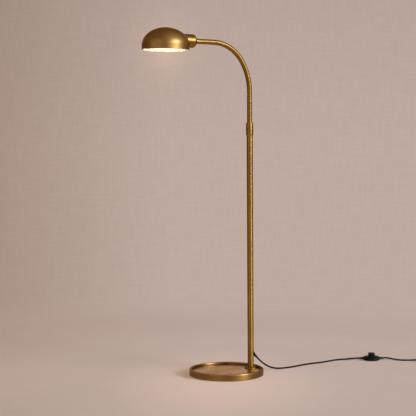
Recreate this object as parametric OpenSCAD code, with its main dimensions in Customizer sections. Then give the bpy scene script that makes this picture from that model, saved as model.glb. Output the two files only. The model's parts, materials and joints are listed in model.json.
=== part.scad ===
// Task floor lamp: a round tray base, an off-centre post with a sliding bent arm,
// a domed shade that turns on the arm's end, and a mains lead with a foot switch.
// Millimetres, +Z up. The origin is the centre of the base on the floor, and the arm points to -X.

/* [Base] */
// Diameter of the round base
base_d = 266; // [240:1:320]
// Height of the base above the floor
base_h = 24; // [22:1:34]
// Width of the raised rim round the tray
rim_w = 8.5; // [6:0.5:14]
// Depth of the tray inside the rim
tray_depth = 8; // [5:0.5:9]
// Thickness of the tray's floor
tray_floor_t = 4; // [3:0.5:5]
// Thickness of the skirt below the rim
skirt_t = 3; // [2:0.5:5]
// Rounding of the rim's two edges
rim_round = 2.5; // [1:0.25:2.75]
// Thickness of the floor pad under the base
pad_t = 2; // [1.5:0.25:3]
// Diameter of the flange at the foot of the post
flange_d = 44; // [34:1:52]
// Height of the flange at the foot of the post
flange_h = 5; // [3:0.5:9]

/* [Post] */
// Outer diameter of the lower post
post_d = 22; // [20:0.5:26]
// Wall of the lower post
post_wall = 1.5; // [1:0.25:1.5]
// Height of the lower post's top end above the floor
post_top = 884; // [700:1:980]
// Height at which the lead leaves the post
exit_h = 68; // [60:1:140]

/* [Height lock] */
// Outer diameter of the lock collar
collar_d = 26; // [25:0.5:34]
// Height of the lock collar
collar_h = 48; // [42:1:64]
// Length of the lock collar that screws over the post
collar_grip = 25; // [18:1:28]
// Height of the split collet on top of the post
collet_h = 15; // [10:1:16]
// Wall of the split collet at its top
collet_wall = 1.2; // [0.8:0.1:1.4]

/* [Arm] */
// Outer diameter of the arm tube
arm_d = 18; // [17:0.25:18.5]
// Wall of the arm tube
arm_wall = 1.5; // [1:0.25:2]
// Height of the arm's axis at the end of the bend
arm_h = 1187.5; // [1090:0.5:1320]
// Radius of the easy sweep at the start of the bend, to the tube's axis
sweep_r = 200; // [150:1:240]
// Angle through which the easy sweep turns, in degrees
sweep_turn = 31.8; // [20:0.1:45]
// Radius of the rest of the bend, to the tube's axis
bend_r = 135; // [110:1:150]
// Angle by which the arm's end rises to the head, in degrees
arm_rise = 1; // [0:0.5:10]
// Distance from the post's axis to the shade's axis
reach = 331.5; // [300:0.5:420]
// Length of the arm tube that is inside the post below the lock
arm_hidden = 190; // [140:1:260]
// Length of the glide bush at the arm's lower end
glide_h = 40; // [25:1:60]

/* [Shade] */
// Diameter of the shade's rim
shade_d = 165.5; // [156:0.5:188]
// Height of the shade's straight skirt
shade_skirt = 17; // [10:0.5:22]
// Height of the shade's dome above its skirt
shade_dome = 61.5; // [58:0.5:80]
// Wall of the spun shade
shade_wall = 1.2; // [0.8:0.1:2]
// Height of the arm's axis above the shade's rim
axis_over_rim = 36; // [34:0.5:42]

/* [Socket cup and lampholder] */
// Outer diameter of the socket cup
cup_d = 47; // [44:0.5:52]
// Wall of the socket cup
cup_wall = 1.2; // [0.8:0.1:1.4]
// Distance from the shade's axis to the start of the cup's rounded shoulder
cup_end = 103; // [101:0.5:112]
// Length of the cup's rounded shoulder
cup_shoulder = 12; // [8:0.5:18]
// Outer diameter of the lampholder's body
holder_d = 36; // [33:0.5:37]
// Length of the lampholder's body
holder_h = 45; // [42:0.5:48]
// Outer diameter of the bulb's screw cap
cap_d = 26; // [25:0.25:26.5]
// Diameter of the bulb's globe
globe_d = 48; // [44:1:56]

/* [Foot switch] */
// Diameter of the foot switch
switch_d = 66; // [60:1:76]
// Height of the foot switch's cover
switch_h = 16.5; // [15:0.5:20]
// Diameter of the button where it goes into the cover
button_d = 24.5; // [20:0.5:27]
// Height of the button's top above the floor
button_top = 27.5; // [26:0.5:32]
// Travel of the button
button_travel = 4; // [2:0.5:4]

/* [Lead] */
// Diameter of the mains lead
cord_d = 6; // [5:0.1:6]
// Turns in the coil of spare lead, spiralling in and out again
coil_turns = 7; // [3:2:7]

/* [Fits] */
// Radial clearance of a part that slides or turns in another
run_gap = 0.06; // [0.02:0.01:0.1]
// Radial clearance of a part that is pressed, screwed or glued in place
fix_gap = 0.1; // [0.05:0.05:0.2]
// Free clearance between moving parts that do not touch
free_gap = 0.3; // [0.2:0.05:0.4]

/* [Hidden] */

$fn = 96;
eps = 0.01;
// How far a cut runs past the face that it opens
over = 1;
up = [0, 0, 1];

// Colours
brass = [0.60, 0.44, 0.19];
bright_brass = [0.80, 0.64, 0.32];
iron = [0.28, 0.28, 0.29];
steel = [0.66, 0.66, 0.68];
black = [0.07, 0.07, 0.075];
felt = [0.12, 0.11, 0.10];
nylon = [0.86, 0.84, 0.78];
porcelain = [0.93, 0.92, 0.88];
glow = [1.0, 0.93, 0.78];

// Base
base_r = base_d / 2;
pad_recess = 0.5;
pad_inset = 1;
skirt_z = pad_t - pad_recess;
skirt_chamfer = 1;
tray_z = base_h - tray_depth;
plate_z = tray_z - tray_floor_t;
tray_fillet = 1.5;
tray_r = base_r - rim_w;
weight_r = base_r - skirt_t - free_gap;
flange_rim_gap = 1;
post_x = tray_r - tray_fillet - flange_rim_gap - flange_d / 2;
weight_screw_count = 3;
weight_screw_pcd = 150;
weight_screw_from = 60;
weight_screw_r = 2;
weight_head_r = 4;
weight_head_h = 2.6;
weight_screw_cover = 1;
weight_screw_run_out = 0.5;
weight_bite = tray_floor_t - weight_screw_cover;

// Post and its fixing to the base
flange_foot_share = 0.3;
post_r = post_d / 2;
post_bore_r = post_r - post_wall;
bolt_r = 5;
bolt_head_af = 17;
bolt_head_h = 4.5;
washer_r = 13;
washer_t = 1.5;
washer_room = 1;
web_t = 3;
bolt_seat_z = plate_z - web_t;
plug_h = 30;
bolt_bite = 24;

// Lead's way out of the post: a bushing that slopes down and away from the arm
exit_slope = 45;
exit_axis_z = exit_h + post_r * tan(exit_slope);
bush_hole_r = 5;
bush_collar_r = 6.4;
bush_collar_t = 3;
bush_tail = 24;
bush_start = 9.2;
bush_wall_s = post_r / cos(exit_slope);
bush_end = bush_wall_s + bush_tail;
exit_way = [cos(exit_slope), 0, -sin(exit_slope)];
exit_tip = [post_x, 0, exit_axis_z] + bush_end * exit_way;
lead_r = 2.4;
lead_bend_r = 16;
// A bend is a hair thicker than its straight runs, which lap into it, so that they join on clear faces
bend_swell = 0.02;
bend_lap = 0.3;
lead_bend_run = lead_bend_r * tan(exit_slope / 2);
lead_bend_z = exit_axis_z + lead_bend_run;

// Height lock
arm_r = arm_d / 2;
collar_r = collar_d / 2;
collar_z = post_top - collar_grip;
collar_top = collar_z + collar_h;
collar_shoulder = 13;
collar_chamfer = 6;
collar_lip = 0.8;
collet_slits = 4;
collet_slit_from = 45;
collet_slit_w = 1.2;
collet_base = 3;

// Arm
arm_bore_r = arm_r - arm_wall;
arm_foot = post_top - arm_hidden;
turn = 90 - arm_rise;
bend_link = 2;
sweep_rise = sweep_r * sin(sweep_turn) + bend_link * cos(sweep_turn);
bend_z = arm_h - bend_r * (sin(turn) - sin(sweep_turn)) - sweep_rise;
sweep_mid = [post_x - sweep_r, 0, bend_z];
sweep_end = sweep_mid + sweep_r * [cos(sweep_turn), 0, sin(sweep_turn)];
link_end = sweep_end + bend_link * [-sin(sweep_turn), 0, cos(sweep_turn)];
bend_mid = link_end - bend_r * [cos(sweep_turn), 0, sin(sweep_turn)];
bend_end = bend_mid + bend_r * [cos(turn), 0, sin(turn)];
head_x = post_x - reach;
arm_run = (bend_end[0] - head_x) / cos(arm_rise);
head_z = bend_end[2] + arm_run * sin(arm_rise);
glide_spigot = 18;
glide_room = 1.6;
glide_bore_r = lead_r + glide_room;

// Swivel in the socket cup, measured along the arm's end from the shade's axis
cup_r = cup_d / 2;
cup_bore_r = cup_r - cup_wall;
cup_back = cup_end + cup_shoulder;
step_w = 1.5;
swivel_plate_t = 2;
swivel_washer_t = 1;
swivel_washer_inset = 0.5;
swivel_nut_h = 5;
swivel_nut_af = 15;
nipple_r = 4.85;
nipple_bore_r = 3.2;
nipple_proud = 1;
nipple_stop = 4;
tip_plug_h = 18;
arm_set_in = 3;
arm_end = cup_end - arm_set_in;
washer_x = arm_end - swivel_washer_t;
plate_x = washer_x - swivel_plate_t;
nut_x = plate_x - swivel_nut_h;
nipple_x = nut_x - nipple_proud;
nipple_h = arm_end + tip_plug_h - nipple_stop - nipple_x;

// Lampholder and bulb, on the same axis
holder_r = holder_d / 2;
holder_clear = 0.5;
holder_back = nipple_x - holder_clear;
holder_front = holder_back - holder_h;
holder_wall = 3.5;
holder_floor = 3.5;
holder_bore_r = holder_r - holder_wall;
holder_floor_x = holder_back - holder_floor;
boss_r = 2.8;
boss_inset = 0.5;
boss_pitch_r = holder_r - boss_r - boss_inset;
holder_screw_r = 1.5;
holder_screw_head_r = 2.8;
holder_screw_head_h = 2;
holder_bite = 6;
holder_hole_run_out = 1;
cap_r = cap_d / 2;
shell_wall = 0.6;
shell_set_in = 6;
shell_r = cap_r + free_gap + shell_wall;
contact_t = 1.6;
contact_r = 4;
cap_tip_x = holder_floor_x - contact_t - free_gap;
cap_taper = 4;
cap_h = 26;
cap_collar = 2;
cap_mouth_x = cap_tip_x - cap_h;
globe_r = globe_d / 2;
globe_neck_inset = 1.2;
globe_neck_r = cap_r - globe_neck_inset;
globe_wall = 1;
globe_reach = 1.5;
globe_x = cap_mouth_x - globe_r * globe_reach;
globe_neck_from = 48;
globe_steps = 20;
shade_hole_r = holder_r + free_gap;

// Shade and the ring that clamps it
shade_r = shade_d / 2;
ring_w = 4.5;
ring_depth = 25;
ring_front_x = shade_r - ring_depth;
dome_steps = 24;
seat_gap = 0.15;

// Foot switch, turned to lie along the lead
switch_at = [626, -5];
switch_yaw = -27;
switch_r = switch_d / 2;
switch_wall = 2;
switch_belly_z = 7;
switch_lip_z = 0.8;
switch_lip = 3;
switch_shoulder = 16;
switch_flat_r = switch_r - switch_shoulder;
switch_plate_t = 2.6;
switch_plate_gap = 1.5;
switch_plate_r = switch_r - switch_lip - switch_plate_gap;
button_r = button_d / 2;
button_hole_r = button_r + free_gap;
button_flange_w = 2;
button_flange_r = button_r + button_flange_w;
button_flange_t = 1.8;
button_flange_z = switch_h - switch_wall - free_gap - button_flange_t;
button_wall = 2.8;
button_bore_r = button_r - button_wall;
block_top = button_flange_z - button_travel - free_gap;
block_l = 22;
block_w = 14;
block_size = [block_l, block_w, block_top - switch_plate_t];
button_roof_t = 7.5;
button_roof_z = button_top - button_roof_t;
button_round = 1.5;
button_flare = 0.75;
button_flare_h = 5;
switch_boss_inset = 12;
switch_boss_y = switch_r - switch_boss_inset;
switch_boss_r = 2.6;
switch_screw_r = 1.4;
switch_head_r = 2.6;
switch_head_h = 1.4;
switch_head_sunk = 0.2;
switch_screw_run_out = 1;
spring_wire = 1;
spring_r = 6;
spring_turns = 5;
cord_r = cord_d / 2;
entry_z = 7.5;
relief_r = 4.5;
relief_in = 22;
relief_out = 47;
relief_tip_wall = 0.4;
relief_tip_r = cord_r + relief_tip_wall;

// Point out along the switch's axis beyond the tip of one of its reliefs
function switch_tip(side, beyond) =
  [switch_at[0], switch_at[1], entry_z]
  + side * (relief_out + beyond) * [cos(switch_yaw), sin(switch_yaw), 0];

// Lead from the post to the foot switch, point by point along its middle
to_switch = concat(
  [for (run = [0 : 2]) exit_tip + run * cord_d * exit_way],
  [
    [146, 0, 34], [158, 0, 25], [172, 0, 16.5], [188, 0, 10], [206, 0, 5.5], [226, 0, 3.5],
    [248, 1, 3], [272, 4, 3], [298, 10, 3], [324, 18, 3], [350, 25, 3], [378, 29, 3],
    [406, 31, 3], [434, 34, 3], [460, 40, 3], [484, 46, 3], [506, 49, 3], [525, 46, 3.5],
    [541, 37, 4.5], [556, 29, 6.2]
  ],
  [for (run = [2 : -1 : 0]) switch_tip(-1, run * cord_d)]
);
cord_sides = 8;

// Coil of the spare lead, in two layers, and the tie and plug on it
coil_heading = -15;
coil_sides = 6;
coil_rings = 24;
coil_air = 0.6;
coil_eye = 4;
coil_step = cord_d + coil_air;
coil_in_r = coil_eye * cord_d;
coil_out_r = coil_in_r + coil_step * coil_turns / 2;
coil_run = cord_d;
plug_run = 2 * cord_d;
tie_t = 0.7;
tie_w = 8;
coil_z = tie_t + free_gap + cord_r;
coil_join = [812, -109, coil_z];
heading = [cos(coil_heading), sin(coil_heading), 0];
// Lead from the foot switch to the coil, point by point along its middle
to_coil = concat(
  [for (run = [0 : 2]) switch_tip(1, run * cord_d)],
  [
    [689, -42, 6], [698, -55, 4], [708, -69, 3], [721, -82, 3], [736, -91, 3],
    [753, -98, 3], [770, -101, 3], [786, -103, 3.5]
  ],
  [for (run = [2 : -1 : 0]) coil_join - run * cord_d * heading]
);
coil_turn_at = coil_join + coil_run * heading;
coil_mid = coil_turn_at - coil_out_r * [-sin(coil_heading), cos(coil_heading), 0];
plug_z = coil_z + coil_step;
plug_relief = 27;
plug_relief_r = 6;
plug_grip = 36;
plug_w = 26;
plug_neck_w = 15;
plug_waist = 0.55;
plug_swell = 1;
plug_face_run = 6;
blade = [17, 1.5, 6.35];
blade_pitch = 12.7;

// Outline and path helpers

// Points of an elliptical arc about c
function arc(c, rx, ry, a0, a1, n = 8) =
  [for (i = [0 : n]) let (a = a0 + (a1 - a0) * i / n) c + [rx * cos(a), ry * sin(a)]];

function unit(v) = v / norm(v);

// Point at parameter u of the smooth curve from p[i] to p[i + 1]
function curve_point(p, i, u) =
  let (
    last = len(p) - 1,
    a = p[max(i - 1, 0)],
    b = p[i],
    c = p[min(i + 1, last)],
    d = p[min(i + 2, last)]
  )
  b + 0.5 * (u * (c - a) + u * u * (2 * a - 5 * b + 4 * c - d) + u * u * u * (3 * b - a - 3 * c + d));

// Path through a route's points, with one point added between each two, kept on the floor
function on_floor(q, r) = [q[0], q[1], max(q[2], r)];
function lead_path(p, r) =
  [for (i = [0 : 2 * len(p) - 2]) on_floor(curve_point(p, floor(i / 2), (i % 2) / 2), r)];

// Direction of a path at one of its points
function heading_at(p, i) = unit(p[min(i + 1, len(p) - 1)] - p[max(i - 1, 0)]);

// Ring of n points of radius r round point i of a path
function tube_ring(p, i, r, n) =
  let (t = heading_at(p, i), s = unit(cross(t, up)), w = cross(s, t))
  [for (k = [0 : n - 1]) p[i] + r * (cos(360 * k / n) * s + sin(360 * k / n) * w)];

// Closed round tube of radius r swept along a path
module tube_along(p, r, n) {
  last = len(p) - 1;
  points = [for (i = [0 : last]) each tube_ring(p, i, r, n)];
  walls = [
    for (i = [0 : last - 1], k = [0 : n - 1])
      let (a = i * n + k, b = i * n + (k + 1) % n)
      each [[a, b, b + n], [a, b + n, a + n]]
  ];
  near_end = [for (k = [1 : n - 2]) [0, k + 1, k]];
  far_end = [for (k = [1 : n - 2]) [last * n, last * n + k, last * n + k + 1]];
  polyhedron(points, concat(walls, near_end, far_end));
}

// Least clear gap between points of a path that are at least skip places apart
function least_gap(p, skip, d) =
  min([for (i = [0 : len(p) - 1 - skip], j = [i + skip : len(p) - 1]) norm(p[i] - p[j])]) - d;

// Path of the coil: in on the floor layer, up in the half turn where it reverses, out on the upper layer
function ease(u) = let (v = min(max(u, 0), 1)) v * v * (3 - 2 * v);
function coil_point(t) =
  let (
    a = coil_heading + 90 - 360 * t,
    r = coil_in_r + coil_step * abs(t - coil_turns / 2),
    z = coil_step * ease(2 * (t - coil_turns / 2) + 0.5)
  )
  coil_mid + [r * cos(a), r * sin(a), z];
coil_path = concat(
  [coil_join],
  [for (i = [0 : coil_turns * coil_rings]) coil_point(i / coil_rings)],
  [coil_point(coil_turns) + plug_run / 2 * heading, coil_point(coil_turns) + plug_run * heading]
);
plug_at = coil_path[len(coil_path) - 1];

// Path of the switch's spring
spring_z = block_top;
spring_h = button_roof_z - block_top;
function spring_point(t) =
  let (
    a = 360 * t,
    rise = spring_h - spring_wire
  )
  [spring_r * cos(a), spring_r * sin(a), spring_z + spring_wire / 2 + rise * t / spring_turns];
spring_rings = 12;
spring_path = [for (i = [0 : spring_turns * spring_rings]) spring_point(i / spring_rings)];

echo(coil_gap = least_gap(coil_path, coil_rings / 2, cord_d));  // cord_coil
echo(spring_gap = least_gap(spring_path, spring_rings / 2, spring_wire));  // switch_spring

// Places

module at_post() {
  translate([post_x, 0, 0]) children();
}

// The shade's axis where the arm's axis meets it: +X back along the arm, +Z up the shade
module at_head() {
  translate([head_x, 0, head_z]) rotate([0, arm_rise, 0]) children();
}

// The arm's end as an upright axis: z is the distance back from the shade's axis
module on_arm_axis() {
  at_head() rotate([0, 90, 0]) children();
}

module at_switch() {
  translate([switch_at[0], switch_at[1], 0]) rotate([0, 0, switch_yaw]) children();
}

// The sloping way out of the post: z is the distance from the post's axis
module on_exit_axis() {
  translate([post_x, 0, exit_axis_z]) rotate([0, 90 + exit_slope, 0]) children();
}

module at_weight_screws() {
  for (i = [0 : weight_screw_count - 1])
    rotate([0, 0, weight_screw_from + i * 360 / weight_screw_count]) translate([weight_screw_pcd / 2, 0, 0])
      children();
}

module at_holder_screws() {
  for (side = [-1, 1]) translate([0, side * boss_pitch_r, 0]) children();
}

// Tube between two heights
module pipe(r_out, r_in, z0, z1) {
  translate([0, 0, z0]) difference() {
    cylinder(h = z1 - z0, r = r_out);
    translate([0, 0, -over]) cylinder(h = z1 - z0 + 2 * over, r = r_in);
  }
}

module rod(r, z0, z1) {
  translate([0, 0, z0]) cylinder(h = z1 - z0, r = r);
}

// Base

module base_tray() {
  outline = concat(
    [[base_r - skirt_t, skirt_z], [base_r - skirt_chamfer, skirt_z], [base_r, skirt_z + skirt_chamfer]],
    arc([base_r - rim_round, base_h - rim_round], rim_round, rim_round, 0, 90),
    arc([tray_r + rim_round, base_h - rim_round], rim_round, rim_round, 90, 180),
    arc([tray_r - tray_fillet, tray_z + tray_fillet], tray_fillet, tray_fillet, 0, -90, 4),
    [[0, tray_z], [0, plate_z], [base_r - skirt_t, plate_z]]
  );
  color(brass) difference() {
    rotate_extrude() polygon(outline);
    at_post() rod(bolt_r + free_gap, plate_z - over, tray_z + over);
    at_weight_screws()
      rod(weight_screw_r + fix_gap, plate_z - over, plate_z + weight_bite + weight_screw_run_out);
  }
}

module base_weight() {
  color(iron) difference() {
    rod(weight_r, pad_t, plate_z);
    at_post() rod(washer_r + washer_room, pad_t - over, bolt_seat_z);
    at_post() rod(bolt_r + free_gap, pad_t, plate_z + over);
    at_weight_screws() rod(weight_head_r + free_gap, pad_t - over, plate_z - web_t);
    at_weight_screws() rod(weight_screw_r + free_gap, pad_t, plate_z + over);
  }
}

module base_pad() {
  color(felt) rod(weight_r - pad_inset, 0, pad_t);
}

module weight_screws() {
  seat = plate_z - web_t;
  color(steel) at_weight_screws() {
    rod(weight_head_r, seat - weight_head_h, seat);
    rod(weight_screw_r, seat - eps, plate_z + weight_bite);
  }
}

module post_flange() {
  foot_r = flange_d / 2;
  throat_r = post_r + fix_gap;
  crown_r = (foot_r + throat_r) / 2;
  foot_h = flange_h * flange_foot_share;
  outline = concat(
    [[throat_r, tray_z], [foot_r, tray_z]],
    arc([crown_r, tray_z + foot_h], foot_r - crown_r, flange_h - foot_h, 0, 90),
    [[throat_r, tray_z + flange_h]]
  );
  color(brass) at_post() rotate_extrude() polygon(outline);
}

module post_plug() {
  color(steel) at_post() pipe(post_bore_r - fix_gap, bolt_r + fix_gap, tray_z, tray_z + plug_h);
}

module post_washer() {
  color(steel) at_post() pipe(washer_r, bolt_r + free_gap, bolt_seat_z - washer_t, bolt_seat_z);
}

module post_bolt() {
  seat = bolt_seat_z - washer_t;
  color(steel) at_post() {
    translate([0, 0, seat - bolt_head_h])
      cylinder(h = bolt_head_h, r = bolt_head_af / 2 / cos(30), $fn = 6);
    rod(bolt_r, seat - eps, tray_z + bolt_bite);
  }
}

// Post

module lower_post() {
  color(brass) difference() {
    at_post() pipe(post_r, post_bore_r, tray_z, post_top);
    on_exit_axis() rod(bush_hole_r, bush_start / 2, 2 * bush_wall_s);
  }
}

module cord_bushing() {
  tail_start = bush_wall_s + bush_collar_t;
  color(black) union() {
    on_exit_axis() rod(bush_hole_r - fix_gap, bush_start, tail_start);
    difference() {
      on_exit_axis() rod(bush_collar_r, bush_start, tail_start);
      at_post() rod(post_r + fix_gap, 0, post_top);
    }
    on_exit_axis() translate([0, 0, tail_start - eps])
      cylinder(h = bush_end - tail_start + eps, r1 = bush_hole_r, r2 = relief_tip_r);
  }
}

module post_lead() {
  color(black) union() {
    at_post() rod(lead_r, lead_bend_z - bend_lap, arm_foot - glide_h);
    translate([post_x + lead_bend_r, 0, lead_bend_z]) rotate([0, 180, 0]) rotate([90, 0, 0])
      rotate_extrude(angle = exit_slope) translate([lead_bend_r, 0]) circle(lead_r + bend_swell);
    on_exit_axis() rod(lead_r, lead_bend_run - bend_lap, bush_start);
  }
}

// Height lock

module lock_collet() {
  foot_r = post_r - free_gap;
  outline = [
    [arm_r + run_gap, post_top], [foot_r, post_top], [foot_r, post_top + collet_base],
    [arm_r + collet_wall, post_top + collet_h], [arm_r + run_gap, post_top + collet_h]
  ];
  color(nylon) at_post() difference() {
    rotate_extrude() polygon(outline);
    for (i = [0 : collet_slits - 1]) rotate([0, 0, collet_slit_from + i * 360 / collet_slits])
      translate([0, -collet_slit_w / 2, post_top + collet_base]) cube([post_r, collet_slit_w, collet_h]);
  }
}

module lock_collar() {
  lip_w = collar_r - arm_r - free_gap - collar_lip;
  bow_r = (collar_shoulder * collar_shoulder / lip_w + lip_w) / 2;
  collet_top = post_top + collet_h + free_gap;
  outline = concat(
    [[post_r + fix_gap, collar_z], [collar_r - collar_lip, collar_z]],
    [[collar_r, collar_z + collar_chamfer]],
    arc([collar_r - bow_r, collar_top - collar_shoulder], bow_r, bow_r, 0, asin(collar_shoulder / bow_r)),
    [
      [arm_r + free_gap, collar_top], [arm_r + free_gap, collet_top],
      [arm_r + collet_wall + free_gap, collet_top], [post_r + fix_gap, post_top + collet_base + free_gap]
    ]
  );
  color(brass) at_post() rotate_extrude() polygon(outline);
}

// Arm

module glide_bush() {
  color(nylon) at_post() union() {
    pipe(post_bore_r - run_gap, glide_bore_r, arm_foot - glide_h, arm_foot);
    pipe(arm_bore_r - run_gap, glide_bore_r, arm_foot - eps, arm_foot + glide_spigot);
  }
}

// A bend of a rod of radius r in the arm's plane, from one angle above +X to another
module arm_bend(r, mid, circle_r, start, end) {
  translate(mid) rotate([90, 0, 0]) rotate([0, 0, start])
    rotate_extrude(angle = end - start) translate([circle_r, 0]) circle(r + bend_swell);
}

// A rod along the arm's axis: upright, round the sweep, a short link and the bend, and along the end
module along_arm(r, foot, tip) {
  at_post() rod(r, foot, bend_z + bend_lap);
  arm_bend(r, sweep_mid, sweep_r, 0, sweep_turn);
  translate(sweep_end) rotate([0, -sweep_turn, 0]) rod(r, -bend_lap, bend_link + bend_lap);
  arm_bend(r, bend_mid, bend_r, sweep_turn, turn);
  on_arm_axis() rod(r, tip, arm_run + bend_lap);
}

module arm_tube() {
  color(brass) difference() {
    along_arm(arm_r, arm_foot, arm_end);
    along_arm(arm_bore_r, arm_foot - over, arm_end - over);
  }
}

module arm_lead() {
  color(black) along_arm(lead_r, arm_foot - glide_h, nipple_x);
}

module arm_tip_plug() {
  color(steel) on_arm_axis() pipe(arm_bore_r - fix_gap, nipple_r + fix_gap, arm_end, arm_end + tip_plug_h);
}

module swivel_nipple() {
  color(steel) on_arm_axis() pipe(nipple_r, nipple_bore_r, nipple_x, nipple_x + nipple_h);
}

module swivel_washer() {
  color(nylon) on_arm_axis() pipe(arm_r - swivel_washer_inset, nipple_r + fix_gap, washer_x, arm_end);
}

module swivel_nut() {
  color(steel) on_arm_axis() translate([0, 0, nut_x]) difference() {
    cylinder(h = swivel_nut_h, r = swivel_nut_af / 2 / cos(30), $fn = 6);
    rod(nipple_r + fix_gap, -over, swivel_nut_h + over);
  }
}

// Head

module swivel_plate() {
  color(steel) on_arm_axis() difference() {
    rod(cup_bore_r - fix_gap, plate_x, washer_x);
    rod(nipple_r + run_gap, plate_x - over, washer_x + over);
    at_holder_screws() rod(holder_screw_r + fix_gap, plate_x - over, washer_x + over);
  }
}

// The solid that the shade encloses, grown outwards by a gap, standing on its rim
module dome_solid(grow) {
  r = shade_r + grow;
  outline = concat(
    [[0, 0], [r, 0]],
    arc([0, shade_skirt], r, shade_dome + grow, 0, 90, dome_steps)
  );
  rotate_extrude() polygon(outline);
}

module at_shade() {
  at_head() translate([0, 0, -axis_over_rim]) children();
}

module socket_cup() {
  neck_r = arm_r + run_gap;
  neck_lip = neck_r + cup_wall;
  mouth = holder_front;
  inner_shoulder = cup_shoulder - cup_wall;
  outline = concat(
    [[cup_bore_r, mouth], [cup_r, mouth]],
    arc([neck_lip, cup_end], cup_r - neck_lip, cup_shoulder, 0, 90),
    [[neck_r, cup_back], [neck_r, cup_end + inner_shoulder]],
    arc([neck_r, cup_end], cup_bore_r - step_w - neck_r, inner_shoulder, 90, 0),
    [[cup_bore_r - step_w, washer_x], [cup_bore_r, washer_x]]
  );
  color(brass) difference() {
    on_arm_axis() rotate_extrude() polygon(outline);
    at_shade() dome_solid(seat_gap);
  }
}

module lampholder_body() {
  color(porcelain) on_arm_axis() difference() {
    union() {
      rod(holder_r, holder_front, holder_back);
      at_holder_screws() rod(boss_r, holder_floor_x, plate_x);
    }
    rod(holder_bore_r, holder_front - over, holder_floor_x);
    at_holder_screws()
      rod(holder_screw_r + fix_gap, plate_x - holder_bite - holder_hole_run_out, plate_x + over);
  }
}

module lampholder_screws() {
  color(steel) on_arm_axis() at_holder_screws() {
    rod(holder_screw_head_r, washer_x, washer_x + holder_screw_head_h);
    rod(holder_screw_r, plate_x - holder_bite, washer_x + eps);
  }
}

module screw_shell() {
  color(bright_brass) on_arm_axis()
    pipe(shell_r, shell_r - shell_wall, holder_front + shell_set_in, holder_floor_x);
}

module centre_contact() {
  color(bright_brass) on_arm_axis() union() {
    rod(contact_r, holder_floor_x - contact_t / 2, holder_floor_x);
    rod(contact_r / 2, holder_floor_x - contact_t, holder_floor_x - contact_t / 2 + eps);
  }
}

module shade() {
  r_in = shade_r - shade_wall;
  outline = concat(
    [[r_in, 0], [shade_r, 0]],
    arc([0, shade_skirt], shade_r, shade_dome, 0, 90, dome_steps),
    arc([0, shade_skirt], r_in, shade_dome - shade_wall, 90, 0, dome_steps)
  );
  color(brass) difference() {
    at_shade() rotate_extrude() polygon(outline);
    on_arm_axis() rod(shade_hole_r, holder_front, cup_back);
  }
}

module shade_ring() {
  color(bright_brass) intersection() {
    on_arm_axis() pipe(shade_hole_r + ring_w, shade_hole_r, ring_front_x, cup_back);
    at_shade() dome_solid(-shade_wall - seat_gap);
  }
}

module bulb_cap() {
  outline = [
    [0, cap_mouth_x], [cap_r, cap_mouth_x], [cap_r, cap_tip_x - cap_taper],
    [cap_r / 2, cap_tip_x - cap_collar], [contact_r, cap_tip_x - cap_collar / 2],
    [contact_r, cap_tip_x], [0, cap_tip_x]
  ];
  color(steel) on_arm_axis() rotate_extrude() polygon(outline);
}

module bulb_globe() {
  inner = globe_r - globe_wall;
  neck_in = globe_neck_r - globe_wall;
  outline = concat(
    arc([0, globe_x], globe_r, globe_r, -90, 90 - globe_neck_from, globe_steps),
    [[globe_neck_r, holder_front], [globe_neck_r, cap_mouth_x]],
    [[neck_in, cap_mouth_x], [neck_in, holder_front]],
    arc([0, globe_x], inner, inner, 90 - globe_neck_from, -90, globe_steps)
  );
  color(glow) on_arm_axis() rotate_extrude() polygon(outline);
}

// Foot switch

function cover_outline(inset) =
  let (
    lip_h = switch_belly_z - switch_lip_z,
    crown_h = switch_h - switch_belly_z - inset
  )
  concat(
    arc([switch_r - switch_lip, switch_belly_z], switch_lip - inset, lip_h, -90, 0),
    arc([switch_flat_r, switch_belly_z], switch_shoulder - inset, crown_h, 0, 90)
  );

module switch_cover() {
  outer = cover_outline(0);
  inner = cover_outline(switch_wall);
  outline = concat(
    outer,
    [[button_hole_r, switch_h], [button_hole_r, switch_h - switch_wall]],
    [for (i = [len(inner) - 1 : -1 : 0]) inner[i]]
  );
  color(black) at_switch() difference() {
    union() {
      rotate_extrude() polygon(outline);
      for (side = [-1, 1]) translate([0, side * switch_boss_y, 0])
        rod(switch_boss_r, switch_plate_t, switch_h - switch_wall);
    }
    translate([0, 0, entry_z]) rotate([0, 90, 0]) rod(relief_r + fix_gap, -switch_d, switch_d);
    for (side = [-1, 1]) translate([0, side * switch_boss_y, 0])
      rod(switch_screw_r + fix_gap, 0, switch_h - 2 * switch_wall);
  }
}

module switch_plate() {
  color(black) at_switch() difference() {
    rod(switch_plate_r, 0, switch_plate_t);
    for (side = [-1, 1]) translate([0, side * switch_boss_y, 0]) {
      rod(switch_head_r + free_gap, -over, switch_head_h);
      rod(switch_screw_r + fix_gap, 0, switch_plate_t + over);
    }
  }
}

module switch_screws() {
  color(steel) at_switch() for (side = [-1, 1]) translate([0, side * switch_boss_y, 0]) {
    rod(switch_head_r, switch_head_sunk, switch_head_h);
    rod(switch_screw_r, switch_head_h - eps, switch_h - 2 * switch_wall - switch_screw_run_out);
  }
}

module switch_block() {
  color(nylon) at_switch() translate([-block_size[0] / 2, -block_size[1] / 2, switch_plate_t])
    cube(block_size);
}

module switch_spring() {
  color(steel) at_switch() tube_along(spring_path, spring_wire / 2, coil_sides);
}

module switch_button() {
  top_r = button_r + button_flare;
  outline = concat(
    [[button_bore_r, button_flange_z], [button_flange_r, button_flange_z]],
    [[button_flange_r, button_flange_z + button_flange_t], [button_r, button_flange_z + button_flange_t]],
    [[button_r, button_top - button_flare_h]],
    arc([top_r - button_round, button_top - button_round], button_round, button_round, 0, 90),
    [[0, button_top], [0, button_roof_z], [button_bore_r, button_roof_z]]
  );
  color(black) at_switch() rotate_extrude() polygon(outline);
}

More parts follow.
